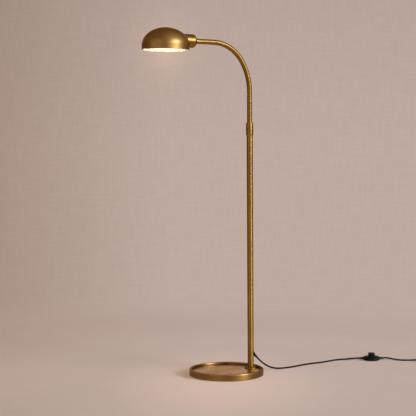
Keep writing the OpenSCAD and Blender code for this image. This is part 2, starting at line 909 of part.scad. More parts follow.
module switch_reliefs() {
  color(black) at_switch() for (side = [0, 1]) mirror([side, 0, 0])
    translate([0, 0, entry_z]) rotate([0, 90, 0]) {
      rod(relief_r, relief_in, switch_r);
      translate([0, 0, switch_r - eps])
        cylinder(h = relief_out - switch_r + eps, r1 = relief_r, r2 = relief_tip_r);
    }
}

// Lead

module cord_to_switch() {
  color(black) tube_along(lead_path(to_switch, cord_r), cord_r, cord_sides);
}

module cord_to_coil() {
  color(black) tube_along(lead_path(to_coil, cord_r), cord_r, cord_sides);
}

module cord_coil() {
  color(black) tube_along(coil_path, cord_r, coil_sides);
}

module cord_tie() {
  near_r = coil_in_r - cord_r - free_gap;
  far_r = coil_out_r - coil_step / 2 + cord_r + free_gap;
  low = tie_t;
  high = plug_z + cord_r + free_gap;
  color(black) translate([coil_mid[0], coil_mid[1], 0]) rotate([0, 0, coil_heading - 90])
    rotate([90, 0, 0]) linear_extrude(tie_w, center = true) difference() {
      translate([near_r - tie_t, 0]) square([far_r - near_r + 2 * tie_t, high + tie_t]);
      translate([near_r, low]) square([far_r - near_r, high - low]);
    }
}

// The plug's own place: +X out of its face, z = 0 on the floor
module at_plug() {
  translate([plug_at[0], plug_at[1], 0]) rotate([0, 0, coil_heading]) children();
}

module plug_body() {
  half = plug_w / 2;
  neck = plug_neck_w / 2;
  end = plug_relief + plug_grip;
  face = end - plug_face_run;
  waist = plug_relief + plug_grip * plug_waist;
  waist_w = neck + plug_swell;
  plan = [
    [plug_relief, -neck], [waist, -waist_w], [face, -half], [end, -half],
    [end, half], [face, half], [waist, waist_w], [plug_relief, neck]
  ];
  side = [
    [plug_relief, plug_z - neck], [waist, plug_z - waist_w], [face, 0], [end, 0],
    [end, 2 * plug_z], [face, 2 * plug_z], [waist, plug_z + waist_w], [plug_relief, plug_z + neck]
  ];
  color(black) at_plug() union() {
    intersection() {
      linear_extrude(2 * plug_z) polygon(plan);
      translate([0, plug_w, 0]) rotate([90, 0, 0]) linear_extrude(2 * plug_w) polygon(side);
    }
    translate([0, 0, plug_z]) rotate([0, 90, 0])
      cylinder(h = plug_relief + eps, r1 = relief_tip_r, r2 = plug_relief_r);
  }
}

module plug_blades() {
  foot = [plug_relief + plug_grip, -blade[1] / 2, plug_z - blade[2] / 2];
  color(bright_brass) at_plug() for (side = [-1, 1])
    translate(foot + [0, side * blade_pitch / 2, 0]) cube(blade);
}

base_tray();
base_weight();
base_pad();
weight_screws();
post_flange();
post_plug();
post_washer();
post_bolt();
lower_post();
cord_bushing();
post_lead();
lock_collet();
lock_collar();
glide_bush();
arm_tube();
arm_lead();
arm_tip_plug();
swivel_nipple();
swivel_washer();
swivel_nut();
swivel_plate();
socket_cup();
lampholder_body();
lampholder_screws();
screw_shell();
centre_contact();
shade();
shade_ring();
bulb_cap();
bulb_globe();
cord_to_switch();
switch_plate();
switch_cover();
switch_screws();
switch_block();
switch_spring();
switch_button();
switch_reliefs();
cord_to_coil();
cord_coil();
cord_tie();
plug_body();
plug_blades();
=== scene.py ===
"""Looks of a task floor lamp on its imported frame: aged brass, enamel, black plastic and a mains lead.

Metres, +Z up. The origin is the centre of the base on the floor, and the arm points to -X.
"""

import json
import logging
import math
from collections.abc import Callable, Sequence
from dataclasses import dataclass, field
from enum import Enum
from typing import NamedTuple

import bmesh
import bpy
from mathutils import Matrix, Vector


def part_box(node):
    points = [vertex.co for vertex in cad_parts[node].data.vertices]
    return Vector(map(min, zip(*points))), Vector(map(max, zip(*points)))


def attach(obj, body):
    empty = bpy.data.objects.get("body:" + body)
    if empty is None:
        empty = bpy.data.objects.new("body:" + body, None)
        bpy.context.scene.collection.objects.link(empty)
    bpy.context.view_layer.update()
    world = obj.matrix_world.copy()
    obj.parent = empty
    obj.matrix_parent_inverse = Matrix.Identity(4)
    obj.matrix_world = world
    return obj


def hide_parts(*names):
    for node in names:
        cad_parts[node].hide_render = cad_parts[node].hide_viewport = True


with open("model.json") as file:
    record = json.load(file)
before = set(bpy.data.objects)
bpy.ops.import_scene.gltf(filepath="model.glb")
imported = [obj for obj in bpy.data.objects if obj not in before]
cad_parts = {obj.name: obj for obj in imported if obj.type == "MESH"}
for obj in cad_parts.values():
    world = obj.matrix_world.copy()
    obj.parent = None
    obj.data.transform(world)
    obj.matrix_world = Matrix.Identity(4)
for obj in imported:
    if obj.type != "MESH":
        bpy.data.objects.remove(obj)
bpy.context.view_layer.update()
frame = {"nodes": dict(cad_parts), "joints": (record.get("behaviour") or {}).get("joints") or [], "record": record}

log = logging.getLogger("floor_lamp")

Colour = tuple[float, float, float]
Spot = tuple[float, float, float]
Point = tuple[float, float]
Span = tuple[float, float]
Box = tuple[Vector, Vector]
Piece = bpy.types.Object
Material = bpy.types.Material
Socket = bpy.types.NodeSocket
Outputs = bpy.types.NodeOutputs
Inputs = bpy.types.NodeInputs

X, Y = 0, 1
WHOLE: Span = (0.0, 1.0)

# Faces round a turned piece
FINEST = 256
FINE = 192
MEDIUM = 96
COARSE = 64

# Steps round a fillet and along each rib
ROUND_STEPS = 6
RIB_STEPS = 10

# The least side that gets a flat beside a fillet, and where the flat starts, in lengths of the fillet
FLAT_LEAST = 4.0
FLAT_FROM = 1.8

# Clearance round a fixed piece
FIT = 0.0001

# The bend that is rubbed most, the share of it that isn't rubbed yet, and the bend that shades as sharp
FULL_BEND = math.radians(12)
LEAST_BEND = 0.4
SHARP = math.radians(38)

# A radius that counts as none
TINY = 1e-7


class Body(Enum):
    """The frame's moving bodies."""

    STAND = "stand"
    COLLAR = "lock_collar"
    ARM = "arm"
    HEAD = "head"
    BUTTON = "button"


class Slot(Enum):
    """The record's material slots."""

    ANTIQUE_BRASS = "antique_brass"
    SHADE_BRASS = "shade_brass"
    PLAIN_BRASS = "plain_brass"
    CAST_IRON = "cast_iron"
    STEEL = "steel"
    CAP_METAL = "cap_metal"
    NYLON = "nylon"
    PORCELAIN = "porcelain"
    BULB_GLASS = "bulb_glass"
    BLACK_PLASTIC = "black_plastic"
    LEAD_JACKET = "lead_jacket"
    PAD_FELT = "pad_felt"


# Shader graphs

class Graph:
    """A shader node tree, with short calls that add nodes and feed their sockets."""

    def __init__(self, tree: bpy.types.NodeTree) -> None:
        """Wrap a tree and empty it."""
        self.tree = tree
        tree.nodes.clear()

    def feed(self, socket: Socket, value: object) -> None:
        """Link a socket to another, or set its value.

        Args:
            socket: The input to feed.
            value: An output socket, a number, a colour or a vector.
        """
        if isinstance(value, Socket):
            self.tree.links.new(value, socket)
        elif socket.type == "RGBA":
            socket.default_value = (*value, 1.0)
        else:
            socket.default_value = value

    def add(
        self, kind: str, inputs: dict[str | int, object] | None = None, **settings: object
    ) -> bpy.types.Node:
        """Add a node.

        Args:
            kind: The node's type name.
            inputs: Values or output sockets, by input name or number.
            settings: The node's own properties.

        Returns:
            The new node.
        """
        node = self.tree.nodes.new(kind)
        for name, value in settings.items():
            setattr(node, name, value)
        for name, value in (inputs or {}).items():
            self.feed(node.inputs[name], value)
        return node

    def maths(self, operation: str, a: object, b: object = 0.0, clamp: bool = False) -> Socket:
        """Add a Math node and return its result."""
        return self.add("ShaderNodeMath", {0: a, 1: b}, operation=operation, use_clamp=clamp).outputs[0]

    def blend(self, share: object, a: object, b: object, way: str = "MIX") -> Socket:
        """Mix two colours by a mask and return the result."""
        return self.add("ShaderNodeMix", {0: share, 6: a, 7: b}, data_type="RGBA", blend_type=way).outputs[2]

    def spread(
        self, mask: object, span: Span, low: float = 0.0, high: float = 1.0, way: str = "LINEAR"
    ) -> Socket:
        """Map a mask from a span to low..high and return the result."""
        values = {0: mask, 1: span[0], 2: span[1], 3: low, 4: high}
        return self.add("ShaderNodeMapRange", values, interpolation_type=way).outputs[0]

    def measure(self, operation: str, a: object, b: object = (0.0, 0.0, 0.0)) -> Socket:
        """Add a Vector Math node that gives a number, and return it."""
        return self.add("ShaderNodeVectorMath", {0: a, 1: b}, operation=operation).outputs["Value"]

    def along(self, vector: object, way: object) -> Socket:
        """Return how far a vector goes in a direction."""
        return self.measure("DOT_PRODUCT", vector, way)

    def noise(self, vector: object, scale: object, detail: float) -> Socket:
        """Add a noise texture and return its value."""
        return self.add("ShaderNodeTexNoise", {"Vector": vector, "Scale": scale, "Detail": detail}).outputs[0]

    def bump(self, height: object, depth: float, normal: object = None) -> Socket:
        """Raise a surface by a height, on top of another bump if one is given.

        Args:
            height: The height, from 0 to 1.
            depth: What a height of 1 measures.
            normal: The normal that the other bump gave.

        Returns:
            The new normal.
        """
        node = self.add("ShaderNodeBump", {"Height": height, "Distance": depth, "Strength": 1.0})
        if normal is not None:
            self.feed(node.inputs["Normal"], normal)
        return node.outputs[0]


@dataclass(frozen=True)
class Effect:
    """A shader node group, built once and placed in each material that uses it."""

    name: str
    inputs: dict[str, str]
    outputs: dict[str, str]
    wire: Callable[[Graph, Inputs, Outputs], None]

    def group(self) -> bpy.types.NodeTree:
        """Return the group, made on its first use.

        Returns:
            The group's node tree.
        """
        found = bpy.data.node_groups.get(self.name)
        if found:
            return found
        tree = bpy.data.node_groups.new(self.name, "ShaderNodeTree")
        graph = Graph(tree)
        for way, sockets in (("INPUT", self.inputs), ("OUTPUT", self.outputs)):
            for name, kind in sockets.items():
                tree.interface.new_socket(name=name, in_out=way, socket_type="NodeSocket" + kind)
        self.wire(graph, graph.add("NodeGroupInput").outputs, graph.add("NodeGroupOutput").inputs)
        return tree

    def place(self, graph: Graph, values: dict[str, object]) -> Outputs:
        """Place the group in a material, feed it values or sockets, and return its outputs."""
        return graph.add("ShaderNodeGroup", values, node_tree=self.group()).outputs


def wire_mottle(graph: Graph, given: Outputs, result: Inputs) -> None:
    """Cloudy tone between two colours, with a finer cloud inside the broad one.

    Args:
        graph: The group's graph.
        given: What the group is given.
        result: What the group gives.
    """
    finer, broad_share, fine_share, span = 7.0, 0.7, 0.3, (0.36, 0.64)
    broad = graph.noise(given["Vector"], given["Scale"], detail=5.0)
    fine = graph.noise(given["Vector"], graph.maths("MULTIPLY", given["Scale"], finer), detail=3.0)
    broad, fine = graph.maths("MULTIPLY", broad, broad_share), graph.maths("MULTIPLY", fine, fine_share)
    mask = graph.spread(graph.maths("ADD", broad, fine), span)
    graph.feed(result["Mask"], mask)
    graph.feed(result["Color"], graph.blend(mask, given["Low"], given["High"]))


def wire_wear(graph: Graph, given: Outputs, result: Inputs) -> None:
    """Rubbed edges and darkened hollows, both ragged.

    Args:
        graph: The group's graph.
        given: What the group is given.
        result: What the group gives.
    """
    span, most, least_rubbed, least_grime = (0.3, 0.7), 1.1, 0.25, 0.35
    ragged = graph.noise(given["Vector"], given["Scale"], detail=5.0)
    bright = graph.spread(ragged, span, least_rubbed, most)
    dark = graph.spread(ragged, span, most, least_grime)
    graph.feed(result["Rubbed"], graph.maths("MULTIPLY", given["Edge"], bright, clamp=True))
    graph.feed(result["Grime"], graph.maths("MULTIPLY", given["Nook"], dark, clamp=True))


def wire_grain(graph: Graph, given: Outputs, result: Inputs) -> None:
    """Fine even grain as a height."""
    graph.feed(result["Height"], graph.noise(given["Vector"], given["Scale"], detail=2.0))


def wire_lines(graph: Graph, given: Outputs, result: Inputs) -> None:
    """Fine lines left by turning or drawing, as a height: Around and Along count them both ways.

    Args:
        graph: The group's graph.
        given: What the group is given.
        result: What the group gives.
    """
    parts = graph.add("ShaderNodeSeparateXYZ", {0: given["Vector"]}).outputs
    around = graph.maths("MULTIPLY", parts[0], given["Around"])
    along = graph.maths("MULTIPLY", parts[1], given["Along"])
    stretched = graph.add("ShaderNodeCombineXYZ", {0: around, 1: along}).outputs[0]
    graph.feed(result["Height"], graph.noise(stretched, 1.0, detail=3.0))


def wire_dust(graph: Graph, given: Outputs, result: Inputs) -> None:
    """Dust on what faces up, as a mask.

    Args:
        graph: The group's graph.
        given: What the group is given.
        result: What the group gives.
    """
    facing_up, patches = (0.2, 1.0), (0.4, 0.75)
    normal = graph.add("ShaderNodeNewGeometry").outputs["Normal"]
    lift = graph.add("ShaderNodeSeparateXYZ", {0: normal}).outputs[2]
    patchy = graph.spread(graph.noise(given["Vector"], given["Scale"], detail=6.0), patches)
    graph.feed(result["Mask"], graph.maths("MULTIPLY", graph.spread(lift, facing_up), patchy))


MOTTLE = Effect(
    "tone mottle",
    {"Vector": "Vector", "Scale": "Float", "Low": "Color", "High": "Color"},
    {"Color": "Color", "Mask": "Float"},
    wire_mottle,
)
WEAR = Effect(
    "edge wear",
    {"Vector": "Vector", "Scale": "Float", "Edge": "Float", "Nook": "Float"},
    {"Rubbed": "Float", "Grime": "Float"},
    wire_wear,
)
GRAIN = Effect("fine grain", {"Vector": "Vector", "Scale": "Float"}, {"Height": "Float"}, wire_grain)
LINES = Effect(
    "tool lines", {"Vector": "Vector", "Around": "Float", "Along": "Float"}, {"Height": "Float"}, wire_lines
)
DUST = Effect("settled dust", {"Vector": "Vector", "Scale": "Float"}, {"Mask": "Float"}, wire_dust)


# Finishes

def new_material(name: str, sockets: dict[str, object]) -> tuple[Material, Graph, bpy.types.Node]:
    """Start a material.

    Args:
        name: The material's name.
        sockets: Values of the Principled shader that are the same all over.

    Returns:
        The material, its graph and its Principled node.
    """
    material = bpy.data.materials.new(name)
    material.use_nodes = True
    graph = Graph(material.node_tree)
    shader = graph.add("ShaderNodeBsdfPrincipled", sockets)
    graph.add("ShaderNodeOutputMaterial", {"Surface": shader.outputs[0]})
    return material, graph, shader


def clouds(graph: Graph, place: object, scale: float, low: Colour, high: Colour) -> Outputs:
    """Place the mottled tone between two colours and return its outputs."""
    return MOTTLE.place(graph, {"Vector": place, "Scale": scale, "Low": low, "High": high})


@dataclass(frozen=True)
class Metal:
    """A metal finish: mottled tone, rubbed edges, dark hollows and the lines of its making."""

    name: str
    low: Colour
    high: Colour
    rubbed: Colour
    grime: Colour
    rough_low: float = 0.3
    rough_high: float = 0.42
    mottle: float = 28.0
    around: float = 0.0
    along: float = 2600.0
    line_depth: float = 0.000004
    grain: float = 1800.0
    grain_depth: float = 0.000003
    brushed: float = 0.0
    brush_turn: float = 0.25
    lacquer: float = 0.0
    lacquer_rough: float = 0.22
    edge_tint: Colour = (1.0, 1.0, 1.0)
    wear_finer: float = 5.0
    grime_rough: float = 0.2

    def material(self) -> Material:
        """Build the material.

        Returns:
            The new material.
        """
        sockets = {
            "Metallic": 1.0, "Anisotropic": self.brushed, "Anisotropic Rotation": self.brush_turn,
            "Coat Weight": self.lacquer, "Coat Roughness": self.lacquer_rough,
            "Specular Tint": self.edge_tint,
        }
        material, graph, shader = new_material(self.name, sockets)
        if self.brushed:
            round_it = graph.add("ShaderNodeTangent", direction_type="UV_MAP").outputs[0]
            graph.feed(shader.inputs["Tangent"], round_it)
        coords = graph.add("ShaderNodeTexCoord").outputs
        place = coords["Object"]
        tone = clouds(graph, place, self.mottle, self.low, self.high)
        marks = {
            name.title(): graph.add("ShaderNodeAttribute", attribute_name=name).outputs["Fac"]
            for name in ("edge", "nook")
        }
        wear = WEAR.place(graph, {"Vector": place, "Scale": self.wear_finer * self.mottle, **marks})
        colour = graph.blend(wear["Rubbed"], tone["Color"], self.rubbed)
        graph.feed(shader.inputs["Base Color"], graph.blend(wear["Grime"], colour, self.grime))
        rough = graph.spread(tone["Mask"], WHOLE, self.rough_high, self.rough_low)
        grimy = graph.maths("MULTIPLY", wear["Grime"], self.grime_rough)
        graph.feed(shader.inputs["Roughness"], graph.maths("ADD", rough, grimy, clamp=True))
        lines = LINES.place(graph, {"Vector": coords["UV"], "Around": self.around, "Along": self.along})
        grain = GRAIN.place(graph, {"Vector": place, "Scale": self.grain})
        lined = graph.bump(lines["Height"], self.line_depth)
        graph.feed(shader.inputs["Normal"], graph.bump(grain["Height"], self.grain_depth, lined))
        return material


@dataclass(frozen=True)
class Moulded:
    """A plastic, rubber, glaze or felt: mottled tone, fine grain and a little dust."""

    name: str
    low: Colour
    high: Colour
    rough_low: float = 0.45
    rough_high: float = 0.6
    mottle: float = 40.0
    grain: float = 1500.0
    grain_depth: float = 0.00002
    dust: float = 0.0
    dust_finer: float = 9.0
    dust_colour: Colour = (0.45, 0.42, 0.38)
    sockets: dict[str, float] = field(default_factory=dict)

    def material(self) -> Material:
        """Build the material.

        Returns:
            The new material.
        """
        material, graph, shader = new_material(self.name, self.sockets)
        place = graph.add("ShaderNodeTexCoord").outputs["Object"]
        tone = clouds(graph, place, self.mottle, self.low, self.high)
        colour = tone["Color"]
        if self.dust:
            settled = DUST.place(graph, {"Vector": place, "Scale": self.dust_finer * self.mottle})
            share = graph.maths("MULTIPLY", settled["Mask"], self.dust)
            colour = graph.blend(share, colour, self.dust_colour)
        graph.feed(shader.inputs["Base Color"], colour)
        rough = graph.spread(tone["Mask"], WHOLE, self.rough_low, self.rough_high)
        graph.feed(shader.inputs["Roughness"], rough)
        grain = GRAIN.place(graph, {"Vector": place, "Scale": self.grain})
        graph.feed(shader.inputs["Normal"], graph.bump(grain["Height"], self.grain_depth))
        return material


@dataclass(frozen=True)
class Glow:
    """Frosted glass, lit from inside."""

    name: str
    glass: Colour
    low: Colour
    high: Colour
    strength: float
    roughness: float = 0.35
    mottle: float = 60.0

    def material(self) -> Material:
        """Build the material.

        Returns:
            The new material.
        """
        sockets = {
            "Base Color": self.glass, "Roughness": self.roughness, "Emission Strength": self.strength,
        }
        material, graph, shader = new_material(self.name, sockets)
        place = graph.add("ShaderNodeTexCoord").outputs["Object"]
        tone = clouds(graph, place, self.mottle, self.low, self.high)
        graph.feed(shader.inputs["Emission Color"], tone["Color"])
        return material


Finish = Metal | Moulded | Glow

AGED = {"rubbed": (0.70, 0.51, 0.22), "grime": (0.10, 0.06, 0.022), "edge_tint": (0.50, 0.32, 0.14)}
FINISHES: dict[Slot, Finish] = {
    Slot.ANTIQUE_BRASS: Metal(
        "antique brass", (0.345, 0.185, 0.032), (0.42, 0.236, 0.048), rough_low=0.42, rough_high=0.47,
        brushed=0.7, mottle=10.0, line_depth=0.000001, grain_depth=0.0000005, lacquer=0.3, **AGED
    ),
    Slot.SHADE_BRASS: Metal(
        "spun shade brass", (0.365, 0.192, 0.047), (0.505, 0.284, 0.082), rough_low=0.40, rough_high=0.48,
        along=1500.0, mottle=20.0, lacquer=0.6, lacquer_rough=0.36, **AGED
    ),
    Slot.PLAIN_BRASS: Metal("plain brass", (0.62, 0.44, 0.18), (0.76, 0.57, 0.26), rough_low=0.22, **AGED),
    Slot.CAST_IRON: Metal(
        "cast iron", (0.07, 0.07, 0.075), (0.14, 0.14, 0.145), (0.30, 0.30, 0.30), (0.03, 0.028, 0.025),
        rough_low=0.6, rough_high=0.8, grain=600.0, grain_depth=0.0002,
    ),
    Slot.STEEL: Metal(
        "zinc plated steel", (0.50, 0.50, 0.51), (0.66, 0.66, 0.67), (0.80, 0.80, 0.80), (0.16, 0.15, 0.14)
    ),
    Slot.CAP_METAL: Metal(
        "pressed cap metal", (0.62, 0.62, 0.63), (0.78, 0.78, 0.79), (0.86, 0.86, 0.86), (0.22, 0.21, 0.20)
    ),
    Slot.NYLON: Moulded("nylon", (0.72, 0.70, 0.63), (0.80, 0.78, 0.72)),
    Slot.PORCELAIN: Moulded(
        "glazed porcelain", (0.80, 0.78, 0.73), (0.87, 0.86, 0.82), rough_low=0.12, rough_high=0.2,
        grain=300.0, sockets={"Coat Weight": 0.6, "Coat Roughness": 0.08},
    ),
    Slot.BULB_GLASS: Glow("lit bulb glass", (0.90, 0.86, 0.78), (1.0, 0.84, 0.64), (1.0, 0.90, 0.74), 9.5),
    Slot.BLACK_PLASTIC: Moulded(
        "black moulded plastic", (0.0035, 0.0038, 0.0044), (0.0065, 0.0070, 0.0080),
        rough_low=0.30, rough_high=0.42, dust=0.01, sockets={"Specular IOR Level": 0.18},
    ),
    Slot.LEAD_JACKET: Moulded(
        "black lead jacket", (0.0025, 0.0027, 0.0031), (0.0050, 0.0053, 0.0060),
        rough_low=0.36, rough_high=0.48, dust=0.01, sockets={"Specular IOR Level": 0.08},
    ),
    Slot.PAD_FELT: Moulded(
        "felt pad", (0.022, 0.021, 0.020), (0.050, 0.047, 0.044), rough_low=0.9, rough_high=1.0, grain=900.0,
        grain_depth=0.0006, sockets={"Sheen Weight": 0.4},
    ),
}
# A darker copy of the antique brass: its drawn lines are real, and its darker colour is painted shade on the arm
# and the cup
DRAWN_DARKENED_BRASS = Metal(
    "drawn, darkened arm brass", (0.31, 0.166, 0.030), (0.37, 0.209, 0.043), rough_low=0.43, rough_high=0.48,
    brushed=0.3, mottle=10.0, around=220.0, along=6.0, line_depth=0.000001, grain_depth=0.0000005,
    lacquer=0.2, **AGED
)
# Two copies of brass for the one tray: darkened for its outside as painted shade, and lightened for its floor as
# painted light; the lacquer and the wear are real
DARKENED_BASE_BRASS = Metal(
    "lacquered, darkened base brass", (0.22, 0.112, 0.022), (0.30, 0.165, 0.042), rough_low=0.36, rough_high=0.46,
    brushed=0.6, lacquer=0.5, lacquer_rough=0.3, **AGED
)
LIGHTENED_TRAY_BRASS = Metal(
    "worn, lightened tray brass", (0.49, 0.265, 0.050), (0.63, 0.36, 0.080), rough_low=0.24, rough_high=0.34,
    mottle=14.0, rubbed=AGED["rubbed"], grime=AGED["grime"], lacquer=0.1,
)
ENAMEL = Moulded(
    "white enamel", (0.80, 0.77, 0.70), (0.86, 0.84, 0.78), rough_low=0.3, rough_high=0.42, grain=500.0,
    sockets={"Coat Weight": 0.3, "Coat Roughness": 0.2},
)


class Palette:
    """The materials, each made once from its finish."""

    def __init__(self) -> None:
        """Start with no material made."""
        self._made: dict[str, Material] = {}

    def of(self, finish: Finish) -> Material:
        """Return a finish's material.

        Args:
            finish: The finish.

        Returns:
            The material, made on its first use.
        """
        if finish.name not in self._made:
            self._made[finish.name] = finish.material()
        return self._made[finish.name]

    def dress_nodes(self) -> None:
        """Give every node of the frame the material of its slot in the record."""
        for subpart in frame["record"]["subparts"]:
            material = self.of(FINISHES[Slot(subpart["material_slot"])])
            mesh = frame["nodes"][subpart["node"]].data
            mesh.materials.clear()
            mesh.materials.append(material)


PALETTE = Palette()


# Outlines and meshes

class Corner(NamedTuple):
    """A corner of an outline, with the radius that rounds it."""

    across: float
    along: float
    fillet: float = 0.0


def arc(
    centre: Point, across: float, along: float, start: float, end: float, steps: int = 24
) -> list[Corner]:
    """Points of an elliptical arc.

    Args:
        centre: The ellipse's centre.
        across: Its half width.
        along: Its half height.
        start: The first angle, in degrees.
        end: The last angle, in degrees.
        steps: How many stretches the arc has.

    Returns:
        The arc's points as corners with no rounding.
    """
    angles = [math.radians(start + (end - start) * step / steps) for step in range(steps + 1)]
    return [Corner(centre[0] + across * math.cos(a), centre[1] + along * math.sin(a)) for a in angles]


def rounded(corners: Sequence[Corner], flats: bool = True) -> list[Point]:
    """Round the corners of an outline that have a fillet.

    Args:
        corners: The outline's corners in order, taken as a loop.
        flats: Whether points beside each fillet keep the flats flat.

    Returns:
        The outline's points.
    """
    points: list[Point] = []
    for index, corner in enumerate(corners):
        here = Vector(corner[:2])
        if corner.fillet <= 0:
            points.append(tuple(here))
            continue
        back = Vector(corners[index - 1][:2]) - here
        ahead = Vector(corners[(index + 1) % len(corners)][:2]) - here
        a, b = back.normalized(), ahead.normalized()
        half = a.angle(b) / 2
        cut = corner.fillet / math.tan(half)
        centre = here + (a + b).normalized() * corner.fillet / math.sin(half)
        spoke = here + a * cut - centre
        turn = (math.pi - 2 * half) * (1 if spoke.cross(here + b * cut - centre) > 0 else -1)
        if flats and back.length > FLAT_LEAST * cut:
            points.append(tuple(here + FLAT_FROM * cut * a))
        for step in range(ROUND_STEPS + 1):
            swung = spoke.copy()
            swung.rotate(Matrix.Rotation(turn * step / ROUND_STEPS, 2))
            points.append(tuple(centre + swung))
        if flats and ahead.length > FLAT_LEAST * cut:
            points.append(tuple(here + FLAT_FROM * cut * b))
    return points


def new_piece(name: str, data: bpy.types.ID) -> Piece:
    """Add an object with a mesh or other data to the scene, and return it.

    Args:
        name: The object's name.
        data: Its mesh, curve, camera or light.

    Returns:
        The object.
    """
    piece = bpy.data.objects.new(name, data)
    bpy.context.scene.collection.objects.link(piece)
    return piece


def coat(piece: Piece, *finishes: Finish) -> None:
    """Add finishes to a piece's list of materials."""
    for finish in finishes:
        piece.data.materials.append(PALETTE.of(finish))


def from_rings(
    name: str,
    rings: Sequence[Sequence[Vector]],
    runs: Sequence[float],
    loop: bool,
    skin: Callable[[int], int] = lambda row: 0,
) -> Piece:
    """Build a closed mesh from rings of points.

    Args:
        name: The piece's name.
        rings: The rings in order, each a closed ring of points, or one point on the axis.
        runs: The distance along the surface at each ring, and at the end of the loop.
        loop: Whether the last ring joins the first.
        skin: Gives the material's place in the piece's list for a row of faces.

    Returns:
        The new object.
    """
    bm = bmesh.new()
    uv = bm.loops.layers.uv.new("UVMap")
    verts = [[bm.verts.new(point) for point in ring] for ring in rings]
    sides = max(len(ring) for ring in rings)
    for row in range(len(rings) if loop else len(rings) - 1):
        low, high = verts[row], verts[(row + 1) % len(rings)]
        for side in range(sides):
            spots = [(low, side, row), (low, side + 1, row), (high, side + 1, row + 1), (high, side, row + 1)]
            corners = [(ring[at % len(ring)], at / sides, runs[level]) for ring, at, level in spots]
            unique = {vert: (vert, u, v) for vert, u, v in corners}
            if len(unique) < 3:
                continue
            face = bm.faces.new(unique)
            face.material_index = skin(row)
            for corner, (_, u, v) in zip(face.loops, unique.values()):
                corner[uv].uv = (u, v)
    if not loop:
        for ring in (verts[0], verts[-1]):
            if len(ring) > 1:
                bm.faces.new(ring)
    bmesh.ops.recalc_face_normals(bm, faces=bm.faces)
    mesh = bpy.data.meshes.new(name)
    bm.to_mesh(mesh)
    bm.free()
    return new_piece(name, mesh)


def turned(
    name: str,
    outline: Sequence[Point],
    place: Matrix,
    loop: bool = True,
    segments: int = FINE,
    skin: Callable[[int], int] = lambda row: 0,
) -> Piece:
    """Turn an outline about the Z axis of its place.

    Args:
        name: The piece's name.
        outline: Points as distance from the axis and distance along it.
        place: Where the axis lies.
        loop: Whether the outline closes on itself, and doesn't end on the axis.
        segments: How many faces go round.
        skin: Gives the material's place in the piece's list for a row of faces.

    Returns:
        The new object.
    """
    angles = [math.tau * k / segments for k in range(segments)]
    rings, runs = [], [0.0]
    for index, (across, along) in enumerate(outline):
        if across < TINY:
            rings.append([place @ Vector((0, 0, along))])
        else:
            ring = [Vector((across * math.cos(a), across * math.sin(a), along)) for a in angles]
            rings.append([place @ point for point in ring])
        ahead = Vector(outline[(index + 1) % len(outline)])
        runs.append(runs[-1] + (ahead - Vector((across, along))).length)
    return from_rings(name, rings, runs, loop, skin)


def rod(name: str, radius: float, start: float, end: float, place: Matrix) -> Piece:
    """Turn a plain rod, for cutting."""
    return turned(name, [(0, start), (radius, start), (radius, end), (0, end)], place, loop=False)


def bake_modifiers(piece: Piece) -> None:
    """Replace a piece's mesh with what its modifiers make of it.

    Args:
        piece: The piece to change.
    """
    graph = bpy.context.evaluated_depsgraph_get()
    made = piece.evaluated_get(graph)
    mesh = bpy.data.meshes.new_from_object(made, preserve_all_data_layers=True, depsgraph=graph)
    piece.modifiers.clear()
    piece.data = mesh


def carve(piece: Piece, tool: Piece, operation: str = "DIFFERENCE") -> None:
    """Cut, join or clip a piece with a tool, which is used up.

    Args:
        piece: The piece to change.
        tool: The other solid.
        operation: DIFFERENCE, UNION or INTERSECT.
    """
    cut = piece.modifiers.new("carve", "BOOLEAN")
    cut.object = tool
    cut.operation = operation
    cut.solver = "EXACT"
    bake_modifiers(piece)
    bpy.data.objects.remove(tool)


def weather(piece: Piece) -> None:
    """Smooth a piece's shading and mark its rubbed edges and its hollows for the finishes.

    Args:
        piece: The piece, in its last shape.
    """
    mesh = piece.data
    bm = bmesh.new()
    bm.from_mesh(mesh)
    edge, nook = [0.0] * len(bm.verts), [0.0] * len(bm.verts)
    for seam in bm.edges:
        bend = seam.calc_face_angle_signed(0.0) / FULL_BEND
        for vert in seam.verts:
            edge[vert.index] = max(edge[vert.index], min(bend - LEAST_BEND, 1.0))
            nook[vert.index] = max(nook[vert.index], min(-bend - LEAST_BEND, 1.0))
    bm.free()
    for name, values in (("edge", edge), ("nook", nook)):
        mesh.attributes.new(name, "FLOAT", "POINT").data.foreach_set("value", values)
    mesh.polygons.foreach_set("use_smooth", [True] * len(mesh.polygons))
    mesh.set_sharp_from_angle(angle=SHARP)


def dress(piece: Piece, body: Body, slot: Slot, *nodes: str) -> Piece:
    """Finish a piece and set it on the frame.

    Args:
        piece: The piece, in its place.
        body: The body that it rides on.
        slot: The record's slot for its finish.
        nodes: The frame's nodes that it stands for.

    Returns:
        The piece.
    """
    if not piece.data.materials:
        coat(piece, FINISHES[slot])
    if piece.type == "MESH":
        weather(piece)
    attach(piece, body.value)
    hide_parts(*nodes)
    log.info("%s rides on %s", piece.name, body.value)
    return piece


def axis_place(point: Vector, direction: Vector) -> Matrix:
    """A place at a point whose Z axis lies along a direction."""
    return Matrix.Translation(point) @ direction.to_track_quat("Z", "Y").to_matrix().to_4x4()


def rotation(degrees: float, axis: str) -> Matrix:
    """A turn about an axis through the origin."""
    return Matrix.Rotation(math.radians(degrees), 4, axis)


def half_span(box: Box, axis: int = Y) -> float:
    """Half a box's size along an axis."""
    return (box[1][axis] - box[0][axis]) / 2


def upright(box: Box) -> Matrix:
    """The upright axis through the middle of a box that lies on the lamp's middle plane."""
    return Matrix.Translation(((box[0].x + box[1].x) / 2, 0, 0))


def joint_named(name: str) -> dict:
    """The frame's joint of that name."""
    return next(joint for joint in frame["joints"] if joint["name"] == name)


# Studio

@dataclass(frozen=True)
class Lamp:
    """A soft studio light, far enough off to light everything alike."""

    name: str
    bearing: float
    height: float
    spread: float
    strength: float
    colour: Colour
    mirrored: bool = True


